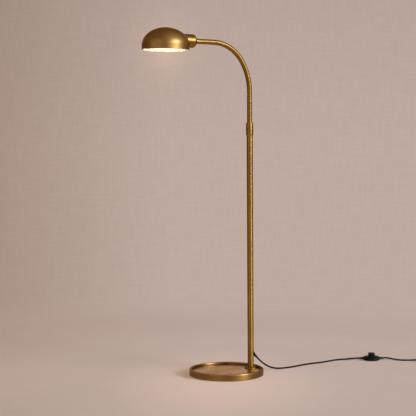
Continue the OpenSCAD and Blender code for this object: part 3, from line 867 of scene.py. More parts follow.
@dataclass(frozen=True)
class Studio:
    """Camera, pale floor and soft light, with light and shade painted on the floor and the backdrop."""

    image_width: float = 416.0
    focal_pixels: float = 1253.4
    sensor: float = 36.0
    position: Spot = (-2.1095, -3.9386, 0.846)
    heading: float = -27.37
    pitch: float = 3.14
    roll: float = -0.361
    clip: float = 200.0
    floor_radius: float = 12.0
    floor_thickness: float = 0.02
    floor_fade: Span = (0.6, 2.5)
    floor_mottle: float = 1.5
    floor_low: Colour = (0.60, 0.525, 0.505)
    floor_high: Colour = (0.64, 0.556, 0.536)
    # Painted light on the floor: emission colours, darker on the left and brighter on the right
    painted_light_left: Colour = (0.096, 0.061, 0.047)
    painted_light_right: Colour = (0.147, 0.109, 0.105)
    painted_light_span: Span = (-0.95, 0.1)
    # Painted pool of light on the floor in front of the base: its colour, middle, squash in depth and reach
    painted_pool: Colour = (0.133, 0.084, 0.046)
    painted_pool_at: Point = (-0.04, -0.17)
    painted_pool_depth: float = 0.6
    painted_pool_reach: float = 0.48
    weave: float = 560.0
    floor_coarser: float = 4.5
    thread_length: float = 9.0
    thread_span: Span = (0.75, 1.25)
    thread_shade: Colour = (0.955, 0.945, 0.945)
    # Painted shade on the backdrop: darker on the left, where the key light is weaker, than on the right; it also
    # darkens towards the top
    backdrop_left: Colour = (0.405, 0.297, 0.248)
    backdrop_right: Colour = (0.53, 0.412, 0.367)
    backdrop_span: Span = (-0.165, -0.03)
    top_shade: Colour = (0.6, 0.6, 0.6)
    top_span: Span = (0.0, 0.5)
    # Painted glow of the bulb's light on the backdrop just under the shade, placed by direction from the camera's
    # heading
    painted_glow: Colour = (0.17, 0.10, 0.03)
    painted_glow_at: Point = (-1.92, 4.06)
    painted_glow_reach: float = 0.05
    painted_glow_fall: float = 3.0
    behind: Colour = (0.62, 0.46, 0.37)
    behind_bottom: Span = (0.04, 0.12)
    behind_top: Span = (0.3, 0.45)
    behind_ends: Span = (0.6, 0.9)
    room: Colour = (0.125, 0.082, 0.036)
    overhead: Colour = (0.20, 0.130, 0.058)
    overhead_span: Span = (0.0, 0.4)
    lights: tuple[Lamp, ...] = (
        Lamp("right key", 58.0, 18.5, 19.0, 1.95, (0.78, 0.87, 1.0)),
        Lamp("right low", 40.0, 8.0, 34.0, 0.42, (1.0, 0.95, 0.90)),
        Lamp("left fill", -38.0, 11.0, 60.0, 0.36, (1.0, 0.96, 0.92)),
        Lamp("upper right", 62.0, 45.0, 80.0, 0.30, (1.0, 0.97, 0.93)),
        Lamp("shadow", 62.0, 28.0, 28.0, 0.8, (1.0, 0.98, 0.96), mirrored=False),
    )

    def build(self) -> None:
        """Make the camera, the floor, the sky and the lights."""
        bpy.context.scene.view_settings.view_transform = "Standard"
        self.camera()
        self.floor()
        self.sky()
        for light in self.lights:
            self.light(light)

    @property
    def right(self) -> Vector:
        """The level direction to the camera's right."""
        return Vector((math.cos(math.radians(self.heading)), math.sin(math.radians(self.heading)), 0))

    def toward(self, aside: float, up: float) -> Vector:
        """A direction by its degrees to the right of the camera's heading and above the level."""
        turn, rise = math.radians(self.heading - aside), math.radians(up)
        return Vector((-math.sin(turn) * math.cos(rise), math.cos(turn) * math.cos(rise), math.sin(rise)))

    def camera(self) -> None:
        """Set the camera at the photograph's angle."""
        data = bpy.data.cameras.new("camera")
        data.sensor_width = self.sensor
        data.lens = self.focal_pixels * self.sensor / self.image_width
        data.clip_end = self.clip
        eye = new_piece("camera", data)
        level = rotation(self.heading, "Z") @ rotation(90, "X")
        tilt = rotation(-self.pitch, "X") @ rotation(self.roll, "Z")
        eye.matrix_world = Matrix.Translation(self.position) @ level @ tilt
        bpy.context.scene.camera = eye

    def floor(self) -> None:
        """Lay a wide round floor."""
        edge, under = self.floor_radius, -self.floor_thickness
        outline = [(0, 0), (edge, 0), (edge, under), (0, under)]
        disc = turned("floor", outline, Matrix.Identity(4), loop=False, segments=MEDIUM)
        disc.data.materials.append(self.floor_finish())

    def floor_finish(self) -> Material:
        """Build the floor's matt finish, which fades out into the backdrop away from the lamp, with painted light
        from its emission: an even lift, brighter to the right, and a painted pool of light in front of the base.

        Returns:
            The new material.
        """
        material = bpy.data.materials.new("pale floor")
        material.use_nodes = True
        graph = Graph(material.node_tree)
        place = graph.add("ShaderNodeTexCoord").outputs["Object"]
        tone = clouds(graph, place, self.floor_mottle, self.floor_low, self.floor_high)
        across, ahead = graph.along(place, self.right), graph.along(place, self.toward(0.0, 0.0))
        # Painted light: the floor's emission, brighter towards the right
        painted_light = graph.blend(graph.spread(across, self.painted_light_span), self.painted_light_left, self.painted_light_right)
        # Painted pool of light: brighter emission within a squashed circle in front of the base
        shallow = graph.maths("MULTIPLY", ahead, self.painted_pool_depth)
        flat = graph.add("ShaderNodeCombineXYZ", {0: across, 1: shallow}).outputs[0]
        middle = (self.painted_pool_at[0], self.painted_pool_at[1] * self.painted_pool_depth, 0.0)
        off = graph.measure("DISTANCE", flat, middle)
        near = graph.spread(off, (0.0, self.painted_pool_reach), 1.0, 0.0, "SMOOTHSTEP")
        painted_light = graph.blend(near, painted_light, self.painted_pool, "ADD")
        painted_light = self.woven(graph, painted_light, flat, self.weave / self.floor_coarser)
        lit = graph.add("ShaderNodeEmission", {"Color": painted_light}).outputs[0]
        matt = graph.add("ShaderNodeBsdfDiffuse", {"Color": tone["Color"]}).outputs[0]
        matt = graph.add("ShaderNodeAddShader", {0: matt, 1: lit}).outputs[0]
        clear = graph.add("ShaderNodeBsdfTransparent").outputs[0]
        fade = graph.spread(graph.measure("LENGTH", place), self.floor_fade, way="SMOOTHSTEP")
        mixed = graph.add("ShaderNodeMixShader", {0: fade, 1: matt, 2: clear}).outputs[0]
        graph.add("ShaderNodeOutputMaterial", {"Surface": mixed})
        return material

    def woven(self, graph: Graph, colour: object, place: object, threads: float) -> Socket:
        """Give a colour the uneven threads of a plain cloth.

        Args:
            graph: The graph to add to.
            colour: The cloth's colour.
            place: A flat place on the cloth.
            threads: How fine the threads are.

        Returns:
            The colour with lighter and darker threads both ways.
        """
        along = threads / self.thread_length
        warp = LINES.place(graph, {"Vector": place, "Around": threads, "Along": along})["Height"]
        weft = LINES.place(graph, {"Vector": place, "Around": along, "Along": threads})["Height"]
        mask = graph.spread(graph.maths("ADD", warp, weft), self.thread_span)
        return graph.blend(mask, colour, self.thread_shade, "MULTIPLY")

    def sky(self) -> None:
        """Light everything softly from all round, with a backdrop behind the lamp that has painted shade, darker
        to the left and towards the top, and a painted glow just under the shade.
        """
        world = bpy.data.worlds.new("studio")
        bpy.context.scene.world = world
        world.use_nodes = True
        graph = Graph(world.node_tree)
        way = graph.add("ShaderNodeTexCoord").outputs["Generated"]
        lift, aside = graph.along(way, (0.0, 0.0, 1.0)), graph.along(way, self.right)
        behind = graph.along(way, self.toward(0.0, 0.0))
        # Painted shade: the backdrop darker to the left, and darker towards the top
        rightward = graph.spread(aside, self.backdrop_span)
        backdrop = graph.blend(rightward, self.backdrop_left, self.backdrop_right)
        backdrop = graph.blend(graph.spread(lift, self.top_span), backdrop, self.top_shade, "MULTIPLY")
        flat = graph.add("ShaderNodeCombineXYZ", {0: aside, 1: lift}).outputs[0]
        backdrop = self.woven(graph, backdrop, flat, self.weave)
        # Painted glow of the bulb's light on the backdrop under the shade
        off = graph.measure("DISTANCE", way, self.toward(*self.painted_glow_at))
        near = graph.spread(off, (0.0, self.painted_glow_reach), 1.0, 0.0)
        near = graph.maths("POWER", near, self.painted_glow_fall)
        backdrop = graph.blend(near, backdrop, self.painted_glow, "ADD")
        low, high = graph.spread(lift, self.behind_bottom), graph.spread(lift, self.behind_top, 1.0, 0.0)
        band = graph.maths("MULTIPLY", low, high)
        band = graph.maths("MULTIPLY", band, graph.spread(behind, self.behind_ends))
        room = graph.blend(graph.spread(lift, self.overhead_span), self.room, self.overhead)
        room = graph.blend(band, room, self.behind)
        seen = graph.add("ShaderNodeLightPath").outputs["Is Camera Ray"]
        shown = graph.add("ShaderNodeBackground", {"Color": graph.blend(seen, room, backdrop)})
        graph.add("ShaderNodeOutputWorld", {"Surface": shown.outputs[0]})

    def light(self, light: Lamp) -> None:
        """Add one soft light, by its bearing from the camera's side and its height, in degrees.

        Args:
            light: Where the light comes from, its size and its strength.
        """
        data = bpy.data.lights.new(light.name, "SUN")
        data.energy = light.strength
        data.angle = math.radians(light.spread)
        data.color = light.colour
        source = new_piece(light.name, data)
        source.visible_glossy = light.mirrored
        turn = math.radians(self.heading + light.bearing)
        tip = math.radians(90 - light.height)
        source.rotation_euler = (tip, 0, turn)


# The lamp's pieces

@dataclass(frozen=True)
class Base:
    """Round tray base with the flange at the post's foot."""

    rim_width: float = 0.0085
    rim_round: float = 0.0025
    tray_depth: float = 0.008
    tray_fillet: float = 0.0015
    floor_thickness: float = 0.004
    floor_rows: int = 2
    skirt_thickness: float = 0.003
    skirt_break: float = 0.001
    flange_foot: float = 0.0015
    flange_lip: float = 0.0004

    def build(self) -> None:
        """Make the tray and the flange."""
        dress(self.tray(), Body.STAND, Slot.ANTIQUE_BRASS, "base_tray")
        dress(self.flange(), Body.STAND, Slot.ANTIQUE_BRASS, "post_flange")

    def tray(self) -> Piece:
        """Turn the tray with its rolled rim, from the middle of its underside to the middle of its floor.

        Returns:
            The tray.
        """
        low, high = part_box("base_tray")
        radius, inner = high.x, high.x - self.rim_width
        ledge = high.z - self.tray_depth
        under = ledge - self.floor_thickness
        wall = radius - self.skirt_thickness
        corners = [
            Corner(0, under), Corner(wall, under), Corner(wall, low.z),
            Corner(radius, low.z, self.skirt_break), Corner(radius, high.z, self.rim_round),
            Corner(inner, high.z, self.rim_round), Corner(inner, ledge, self.tray_fillet), Corner(0, ledge),
        ]
        outline = rounded(corners)
        outside_rows = len(outline) - 1 - self.floor_rows
        tray = turned("tray", outline, Matrix.Identity(4), loop=False, segments=FINEST,
                      skin=lambda row: int(row >= outside_rows))
        # The tray's outside wears the darkened copy of brass (painted shade), and its floor wears the lightened
        # copy (painted light)
        coat(tray, DARKENED_BASE_BRASS, LIGHTENED_TRAY_BRASS)
        return tray

    def flange(self) -> Piece:
        """Turn the half-round moulding at the post's foot.

        Returns:
            The flange.
        """
        low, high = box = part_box("post_flange")
        throat, foot = half_span(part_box("lower_post"), X), half_span(box, X)
        crown = (throat + foot) / 2
        start = low.z + self.flange_foot
        swell = arc((crown, start), foot - crown, high.z - start, 0, 90)
        foot_edge = Corner(foot, low.z, self.flange_lip)
        corners = [Corner(throat, low.z), foot_edge, *swell, Corner(throat, high.z)]
        return turned("flange", rounded(corners), upright(box))


@dataclass(frozen=True)
class Post:
    """Lower post tube and the bushing where the lead leaves it."""

    bore: float = 0.0095
    end_break: float = 0.0004
    exit_height: float = 0.079
    exit_slope: float = 45.0
    hole: float = 0.005
    bushing_start: float = 0.0092
    bushing_tail: float = 0.024
    bushing_collar: float = 0.0064
    collar_length: float = 0.003
    seat_height: float = 0.2
    tip: float = 0.0034
    ribs: int = 5
    rib_depth: float = 0.00045

    @property
    def radius(self) -> float:
        """The tube's outer radius."""
        return half_span(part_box("lower_post"))

    @property
    def axis(self) -> Matrix:
        """The post's axis, from the floor up."""
        return upright(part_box("lower_post"))

    @property
    def way_out(self) -> Vector:
        """The direction in which the lead leaves."""
        slope = math.radians(self.exit_slope)
        return Vector((math.cos(slope), 0, -math.sin(slope)))

    @property
    def exit(self) -> Matrix:
        """The sloping axis of the way out, from the post's axis."""
        return axis_place(self.axis @ Vector((0, 0, self.exit_height)), self.way_out)

    @property
    def wall_run(self) -> float:
        """How far along that axis the post's surface is."""
        return self.radius / math.cos(math.radians(self.exit_slope))

    @property
    def lead_exit(self) -> Vector:
        """The tip of the bushing, where the lead comes free."""
        return self.exit @ Vector((0, 0, self.wall_run + self.bushing_tail))

    def build(self) -> None:
        """Make the tube and the bushing."""
        dress(self.tube(), Body.STAND, Slot.ANTIQUE_BRASS, "lower_post")
        dress(self.bushing(), Body.STAND, Slot.BLACK_PLASTIC, "cord_bushing")

    def tube(self) -> Piece:
        """Turn the tube and drill the lead's way out.

        Returns:
            The tube.
        """
        low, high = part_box("lower_post")
        corners = [
            Corner(self.bore, low.z), Corner(self.radius, low.z, self.end_break),
            Corner(self.radius, high.z, self.end_break), Corner(self.bore, high.z),
        ]
        tube = turned("lower_tube", rounded(corners), self.axis, segments=MEDIUM)
        carve(tube, rod("drill", self.hole, self.bushing_start / 2, 2 * self.wall_run, self.exit))
        return tube

    def bushing(self) -> Piece:
        """Turn the bushing with its ribbed tail, and seat its collar on the post.

        Returns:
            The bushing.
        """
        start = self.wall_run + self.collar_length
        end = self.wall_run + self.bushing_tail
        shank = self.hole - FIT
        outline = [(0, self.bushing_start), (shank, self.bushing_start), (shank, start)]
        outline += ribbed(start, end, self.hole, self.tip, self.ribs, self.rib_depth)
        outline.append((0, end))
        piece = turned("lead_bushing", outline, self.exit, loop=False, segments=COARSE)
        collar = rod("collar", self.bushing_collar, self.bushing_start, start, self.exit)
        carve(collar, rod("seat", self.radius + FIT, 0, self.seat_height, self.axis))
        carve(piece, collar, "UNION")
        return piece


def ribbed(start: float, end: float, wide: float, narrow: float, ribs: int, depth: float) -> list[Point]:
    """Outline of a tapered strain relief with grooves round it.

    Args:
        start: Where the taper starts along its axis.
        end: Where it ends.
        wide: Its radius at the start.
        narrow: Its radius at the end.
        ribs: How many grooves it has.
        depth: How deep they are.

    Returns:
        The points from start to end.
    """
    steps = RIB_STEPS * ribs
    points = []
    for step in range(steps + 1):
        share = step / steps
        groove = max(0.0, -math.cos(math.tau * ribs * share)) ** 2
        points.append((wide + (narrow - wide) * share - depth * groove, start + (end - start) * share))
    return points


@dataclass(frozen=True)
class HeightLock:
    """Lock collar that squeezes the collet on the arm."""

    lip: float = 0.0008
    chamfer: float = 0.006
    shoulder: float = 0.013
    throat: float = 0.0093
    collet_wall: float = 0.0012
    seat_drop: float = 0.0077
    thread_drop: float = 0.0197
    edge_break: float = 0.0004
    mouth_break: float = 0.0003
    barrel_round: float = 0.012

    def build(self) -> None:
        """Turn the collar, barrel-shaped with a rounded shoulder."""
        low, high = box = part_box("lock_collar")
        radius = half_span(box)
        bore = half_span(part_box("lower_post")) + FIT
        width = radius - self.throat - self.lip
        bow = (self.shoulder ** 2 / width + width) / 2
        lean = math.degrees(math.asin(self.shoulder / bow))
        seat = high.z - self.seat_drop
        corners = [
            Corner(bore, low.z, self.edge_break), Corner(radius - self.lip, low.z, self.edge_break),
            Corner(radius, low.z + self.chamfer, self.barrel_round),
            *arc((radius - bow, high.z - self.shoulder), bow, bow, 0, lean)[:-1],
            Corner(self.throat + self.lip, high.z, self.mouth_break),
            Corner(self.throat, high.z, self.edge_break), Corner(self.throat, seat),
            Corner(self.throat + self.collet_wall, seat), Corner(bore, high.z - self.thread_drop),
        ]
        collar = turned("lock_collar_barrel", rounded(corners), upright(box))
        dress(collar, Body.COLLAR, Slot.ANTIQUE_BRASS, "lock_collar")


@dataclass(frozen=True)
class Arm:
    """Bent arm tube."""

    sweep_radius: float = 0.200
    sweep_turn: float = 31.8
    link: float = 0.002
    bend_radius: float = 0.135
    wall: float = 0.0015
    post_steps: int = 8
    bend_steps: int = 48
    tip_steps: int = 4
    tip_run: float = 0.100

    def build(self) -> None:
        """Make the tube."""
        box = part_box("arm_tube")
        piece = self.tube(self.path(box[0].z), half_span(box))
        # Painted shade: the arm wears the darker copy of brass
        coat(piece, DRAWN_DARKENED_BRASS)
        dress(piece, Body.ARM, Slot.ANTIQUE_BRASS, "arm_tube")

    def path(self, foot: float) -> list[Vector]:
        """Points along the tube's axis.

        Args:
            foot: The height of the tube's lower end.

        Returns:
            The points from the foot, round the easy sweep and the bend, to the head's end.
        """
        post_x = Vector(joint_named("arm_swivel")["pos_m"]).x
        turn_joint = joint_named("shade_turn")
        head, ahead = Vector(turn_joint["pos_m"]), Vector(turn_joint["axis"])
        sweep, turn = math.radians(self.sweep_turn), math.pi / 2 - math.atan2(ahead.z, -ahead.x)
        curve = self.round_bend(Vector((0, 0, 0)), self.sweep_radius, 0.0, sweep)
        curve += self.round_bend(curve[-1] + self.link * self.along(sweep), self.bend_radius, sweep, turn)
        run = (post_x + curve[-1].x - head.x) / -ahead.x
        start = Vector((post_x, 0, head.z - run * ahead.z - curve[-1].z))
        rise = (start.z - foot) / self.post_steps
        points = [Vector((post_x, 0, foot + rise * k)) for k in range(self.post_steps)]
        points += [start + point for point in curve]
        tip = head - ahead * self.tip_run
        points += [points[-1].lerp(tip, k / self.tip_steps) for k in range(1, self.tip_steps + 1)]
        return points

    def along(self, angle: float) -> Vector:
        """The tube's direction where it has turned through an angle from upright."""
        return Vector((-math.sin(angle), 0, math.cos(angle)))

    def round_bend(self, start: Vector, radius: float, first: float, last: float) -> list[Vector]:
        """Points round one bend of the tube's axis.

        Args:
            start: The bend's first point.
            radius: Its radius.
            first: The angle from upright at its start.
            last: The angle from upright at its end.

        Returns:
            The bend's points, with the first.
        """
        angles = [first + (last - first) * step / self.bend_steps for step in range(self.bend_steps + 1)]
        spokes = [radius * Vector((math.cos(angle), 0, math.sin(angle))) for angle in angles]
        return [start + spoke - spokes[0] for spoke in spokes]

    def tube(self, path: Sequence[Vector], radius: float) -> Piece:
        """Sweep the tube, outside and bore, along its axis.

        Args:
            path: Points along the axis.
            radius: The outer radius.

        Returns:
            The tube.
        """
        side = Vector((0, 1, 0))
        angles = [math.tau * k / MEDIUM for k in range(MEDIUM)]
        outer, inner, runs = [], [], [0.0]
        for index, point in enumerate(path):
            ahead = path[min(index + 1, len(path) - 1)] - path[max(index - 1, 0)]
            out = side.cross(ahead.normalized())
            spokes = [out * math.cos(a) + side * math.sin(a) for a in angles]
            outer.append([point + radius * spoke for spoke in spokes])
            inner.append([point + (radius - self.wall) * spoke for spoke in spokes])
            runs.append(runs[-1] + ahead.length / 2)
        back = [runs[-1] + run for run in runs]
        return from_rings("arm_bent_tube", outer + inner[::-1], runs[:-1] + back, loop=True)


@dataclass(frozen=True)
class Head:
    """Socket cup, domed shade, clamp ring and lit bulb on the arm's end.

    Distances along the arm's end are from the shade's axis.
    """

    shade_skirt: float = 0.017
    shade_dome: float = 0.0615
    shade_radius: float = 0.08275
    shade_wall: float = 0.0012
    shade_lip: float = 0.0005
    axis_over_rim: float = 0.036
    dome_steps: int = 96
    hole: float = 0.0183
    seat_gap: float = 0.00015
    mouth: float = 0.0455
    cup_radius: float = 0.0235
    cup_wall: float = 0.0012
    cup_end: float = 0.103
    cup_shoulder: float = 0.012
    cup_step: float = 0.0015
    cup_step_at: float = 0.099
    cup_rows: int = 32
    neck: float = 0.00906
    neck_break: float = 0.0003
    ring_front: float = 0.05775
    ring_width: float = 0.0045
    ring_break: float = 0.0006
    ring_round: float = 0.0012
    globe_radius: float = 0.024
    globe_at: float = 0.0231
    globe_neck: float = 0.0118
    globe_end: float = 42.0
    globe_steps: int = 40
    globe_fillet: float = 0.006
    cap_mouth: float = 0.0591

    @property
    def along_arm(self) -> Matrix:
        """The arm's end as an axis: Z is the distance back from the shade's axis."""
        joint = joint_named("shade_turn")
        return axis_place(Vector(joint["pos_m"]), -Vector(joint["axis"]))

    @property
    def on_rim(self) -> Matrix:
        """The shade's own axis, from the middle of its rim.

        Returns:
            The place, with Z towards the crown.
        """
        joint = joint_named("shade_turn")
        back = -Vector(joint["axis"])
        up = back.cross(Vector((0, 1, 0)))
        return axis_place(Vector(joint["pos_m"]) - up * self.axis_over_rim, up)

    def dome(self, grow: float) -> list[Corner]:
        """Outline of the shade's outside from its rim to its crown, grown outwards."""
        radius = self.shade_radius + grow
        return arc((0, self.shade_skirt), radius, self.shade_dome + grow, 0, 90, self.dome_steps)

    def dome_solid(self, grow: float) -> Piece:
        """The solid that the shade encloses, for cutting.

        Args:
            grow: How far the solid is grown outwards.

        Returns:
            The solid.
        """
        outline = [(0, 0), (self.shade_radius + grow, 0), *(corner[:2] for corner in self.dome(grow))]
        outline[-1] = (0, outline[-1][1])
        return turned("dome tool", outline, self.on_rim, loop=False)

    def build(self) -> None:
        """Make the cup, the shade, the ring and the bulb."""
        dress(self.cup(), Body.HEAD, Slot.ANTIQUE_BRASS, "socket_cup")
        dress(self.shade(), Body.HEAD, Slot.SHADE_BRASS, "shade")
        dress(self.ring(), Body.HEAD, Slot.PLAIN_BRASS, "shade_ring")
        dress(self.globe(), Body.HEAD, Slot.BULB_GLASS, "bulb_globe")

    def cup(self) -> Piece:
        """Turn the cup and fit its mouth to the dome.

        Returns:
            The cup.
        """
        lip = self.neck + self.cup_wall
        bore = self.cup_radius - self.cup_wall
        inner = self.cup_shoulder - self.cup_wall
        back = self.cup_end + self.cup_shoulder
        row = (self.cup_end - self.mouth) / self.cup_rows
        wall = [Corner(self.cup_radius, self.mouth + row * k) for k in range(self.cup_rows)]
        corners = [
            Corner(bore, self.mouth), *wall,
            *arc((lip, self.cup_end), self.cup_radius - lip, self.cup_shoulder, 0, 90),
            Corner(self.neck, back, self.neck_break), Corner(self.neck, self.cup_end + inner),
            *arc((self.neck, self.cup_end), bore - self.cup_step - self.neck, inner, 90, 0)[1:],
            Corner(bore - self.cup_step, self.cup_step_at), Corner(bore, self.cup_step_at),
        ]
        cup = turned("socket_cup_shell", rounded(corners), self.along_arm)
        # Painted shade: the cup wears the arm's darker copy of brass
        coat(cup, DRAWN_DARKENED_BRASS)
        carve(cup, self.dome_solid(self.seat_gap))
        return cup

    def shade(self) -> Piece:
        """Turn the shade, brass outside and enamel inside, and cut the lampholder's hole.

        Returns:
            The shade.
        """
        inner = self.shade_radius - self.shade_wall
        outside = self.dome(0.0)
        inside = arc((0, self.shade_skirt), inner, self.shade_dome - self.shade_wall, 90, 0, self.dome_steps)
        rim = [Corner(inner, 0, self.shade_lip), Corner(self.shade_radius, 0, self.shade_lip)]
        outline = rounded([*outside[::-1], rim[1], rim[0], *inside[::-1]])
        outline[0] = (0, outline[0][1])
        outline[-1] = (0, outline[-1][1])
        outside_rows = len(outline) - len(inside) - (ROUND_STEPS + 1) // 2
        shade = turned("shade_dome", outline, self.on_rim, loop=False, segments=FINEST,
                       skin=lambda row: int(row >= outside_rows))
        coat(shade, FINISHES[Slot.SHADE_BRASS], ENAMEL)
        carve(shade, rod("hole tool", self.hole, self.mouth, self.cup_end, self.along_arm))
        return shade

    def ring(self) -> Piece:
        """Turn the clamp ring and fit its back to the inside of the dome.

        Returns:
            The ring.
        """
        outer = self.hole + self.ring_width
        corners = [
            Corner(self.hole, self.ring_front, self.ring_break),
            Corner(outer, self.ring_front, self.ring_round),
            Corner(outer, self.cup_end), Corner(self.hole, self.cup_end),
        ]
        ring = turned("clamp_ring", rounded(corners), self.along_arm)
        carve(ring, self.dome_solid(-self.shade_wall - self.seat_gap), "INTERSECT")
        return ring

    def globe(self) -> Piece:
        """Turn the bulb's globe and neck, and light it.

        Returns:
            The globe with its neck.
        """
        radius, neck = self.globe_radius, self.globe_neck
        ball = arc((0, self.globe_at), radius, radius, -90, self.globe_end, self.globe_steps)
        corners = [*ball, Corner(neck, self.mouth, self.globe_fillet), Corner(neck, self.cap_mouth)]
        outline = rounded([*corners, Corner(0, self.cap_mouth)])
        outline[0] = (0, outline[0][1])
        return turned("bulb", outline, self.along_arm, loop=False, segments=MEDIUM)


@dataclass(frozen=True)
class FootSwitch:
    """Round foot switch with its button and strain reliefs."""

    yaw: float = -27.0
    wall: float = 0.002
    belly: float = 0.007
    lip: float = 0.003
    lip_steps: int = 12
    flat: float = 0.017
    entry: float = 0.0075
    relief_radius: float = 0.0045
    relief_in: float = 0.022
    relief_out: float = 0.047
    relief_tip: float = 0.0034
    relief_faces: int = 48
    ribs: int = 3
    rib_depth: float = 0.0004
    hole_break: float = 0.0004
    groove_at: float = 0.0018
    groove_half: float = 0.0004
    groove_depth: float = 0.0004
    groove_break: float = 0.0002
    button_gap: float = 0.0003
    button_flange: float = 0.002
    flange_height: float = 0.0018
    button_roof: float = 0.0075
    button_wall: float = 0.0028
    button_round: float = 0.0012
    button_flare: float = 0.00075
    flare_height: float = 0.005
    flare_round: float = 0.003
    dish_edge: float = 0.0026
    dish_foot: float = 0.0034
    dish_round: float = 0.0005
    dish_depth: float = 0.0006
    dish_fall: float = 1.5

    @property
    def place(self) -> Matrix:
        """The switch's middle on the floor, turned to lie along the lead.

        Returns:
            The place, with X along the lead.
        """
        low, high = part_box("switch_button")
        middle = Vector(((low.x + high.x) / 2, (low.y + high.y) / 2, 0))
        return Matrix.Translation(middle) @ rotation(self.yaw, "Z")

    def relief_end(self, way: int, beyond: float) -> Vector:
        """A point beyond the tip of one of the reliefs."""
        return self.place @ Vector((way * (self.relief_out + beyond), 0, self.entry))

    def side(self, way: int) -> Matrix:
        """The axis of one of the lead's ways in, from the switch's middle outwards."""
        outwards = self.place.to_3x3() @ Vector((way, 0, 0))
        return axis_place(self.place @ Vector((0, 0, self.entry)), outwards)

    def build(self) -> list[Piece]:
        """Make the cover, the button and the reliefs.

        Returns:
            The pieces that lie on the lead.
        """
        cover = dress(self.cover(), Body.STAND, Slot.BLACK_PLASTIC, "switch_cover")
        button = dress(self.button(), Body.BUTTON, Slot.BLACK_PLASTIC, "switch_button")
        reliefs = dress(self.reliefs(), Body.STAND, Slot.BLACK_PLASTIC, "switch_reliefs")
        return [cover, button, reliefs]

    def cover(self) -> Piece:
        """Turn the domed cover, with a fine groove round the button, and cut the lead's ways in.

        Returns:
            The cover.
        """
        low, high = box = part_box("switch_cover")
        radius = half_span(box)
        hole = half_span(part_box("switch_button"), X) - self.button_flange + self.button_gap
        groove = hole + self.groove_at
        under = (radius - self.lip, self.belly)
        over = (self.flat, self.belly)
        rise = high.z - self.belly
        corners = [
            *arc(under, self.lip, self.belly - low.z, -90, 0, self.lip_steps),
            *arc(over, radius - self.flat, rise, 0, 90)[1:],
            Corner(groove + self.groove_half, high.z, self.groove_break),
            Corner(groove, high.z - self.groove_depth),
            Corner(groove - self.groove_half, high.z, self.groove_break),
            Corner(hole, high.z, self.hole_break), Corner(hole, high.z - self.wall),
            *arc(over, radius - self.flat - self.wall, rise - self.wall, 90, 0),
            *arc(under, self.lip - self.wall, self.belly - low.z, 0, -90, self.lip_steps)[1:],
        ]
        cover = turned("switch_dome", rounded(corners), self.place)
        for way in (1, -1):
            carve(cover, rod("way in", self.relief_radius + FIT, self.relief_in, 2 * radius, self.side(way)))
        return cover

    def button(self) -> Piece:
        """Turn the button, with a dished top and the flange that keeps it in.

        Returns:
            The button.
        """
        low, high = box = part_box("switch_button")
        flange = half_span(box, X)
        radius = flange - self.button_flange
        bore = radius - self.button_wall
        step = low.z + self.flange_height
        roof = high.z - self.button_roof
        corners = [
            Corner(0, roof), Corner(bore, roof), Corner(bore, low.z), Corner(flange, low.z),
            Corner(flange, step), Corner(radius, step),
            Corner(radius, high.z - self.flare_height, self.flare_round),
            Corner(radius + self.button_flare, high.z, self.button_round),
            Corner(radius - self.dish_edge, high.z, self.dish_round),
            Corner(radius - self.dish_foot, high.z - self.dish_depth, self.dish_round),
            Corner(0, high.z - self.dish_fall * self.dish_depth),
        ]
        return turned("foot_button", rounded(corners), self.place, loop=False, segments=MEDIUM)

    def reliefs(self) -> Piece:
        """Turn the two ribbed reliefs as one piece.

        Returns:
            Both reliefs.
        """
        start, end, radius = half_span(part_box("switch_cover")), self.relief_out, self.relief_radius
        outline = [(0, self.relief_in), (radius, self.relief_in)]
        outline += ribbed(start, end, radius, self.relief_tip, self.ribs, self.rib_depth)
        outline.append((0, end))
        first, second = (
            turned("switch_strain_reliefs", outline, self.side(way), loop=False, segments=self.relief_faces)
            for way in (1, -1)
        )
        carve(first, second, "UNION")
        return first


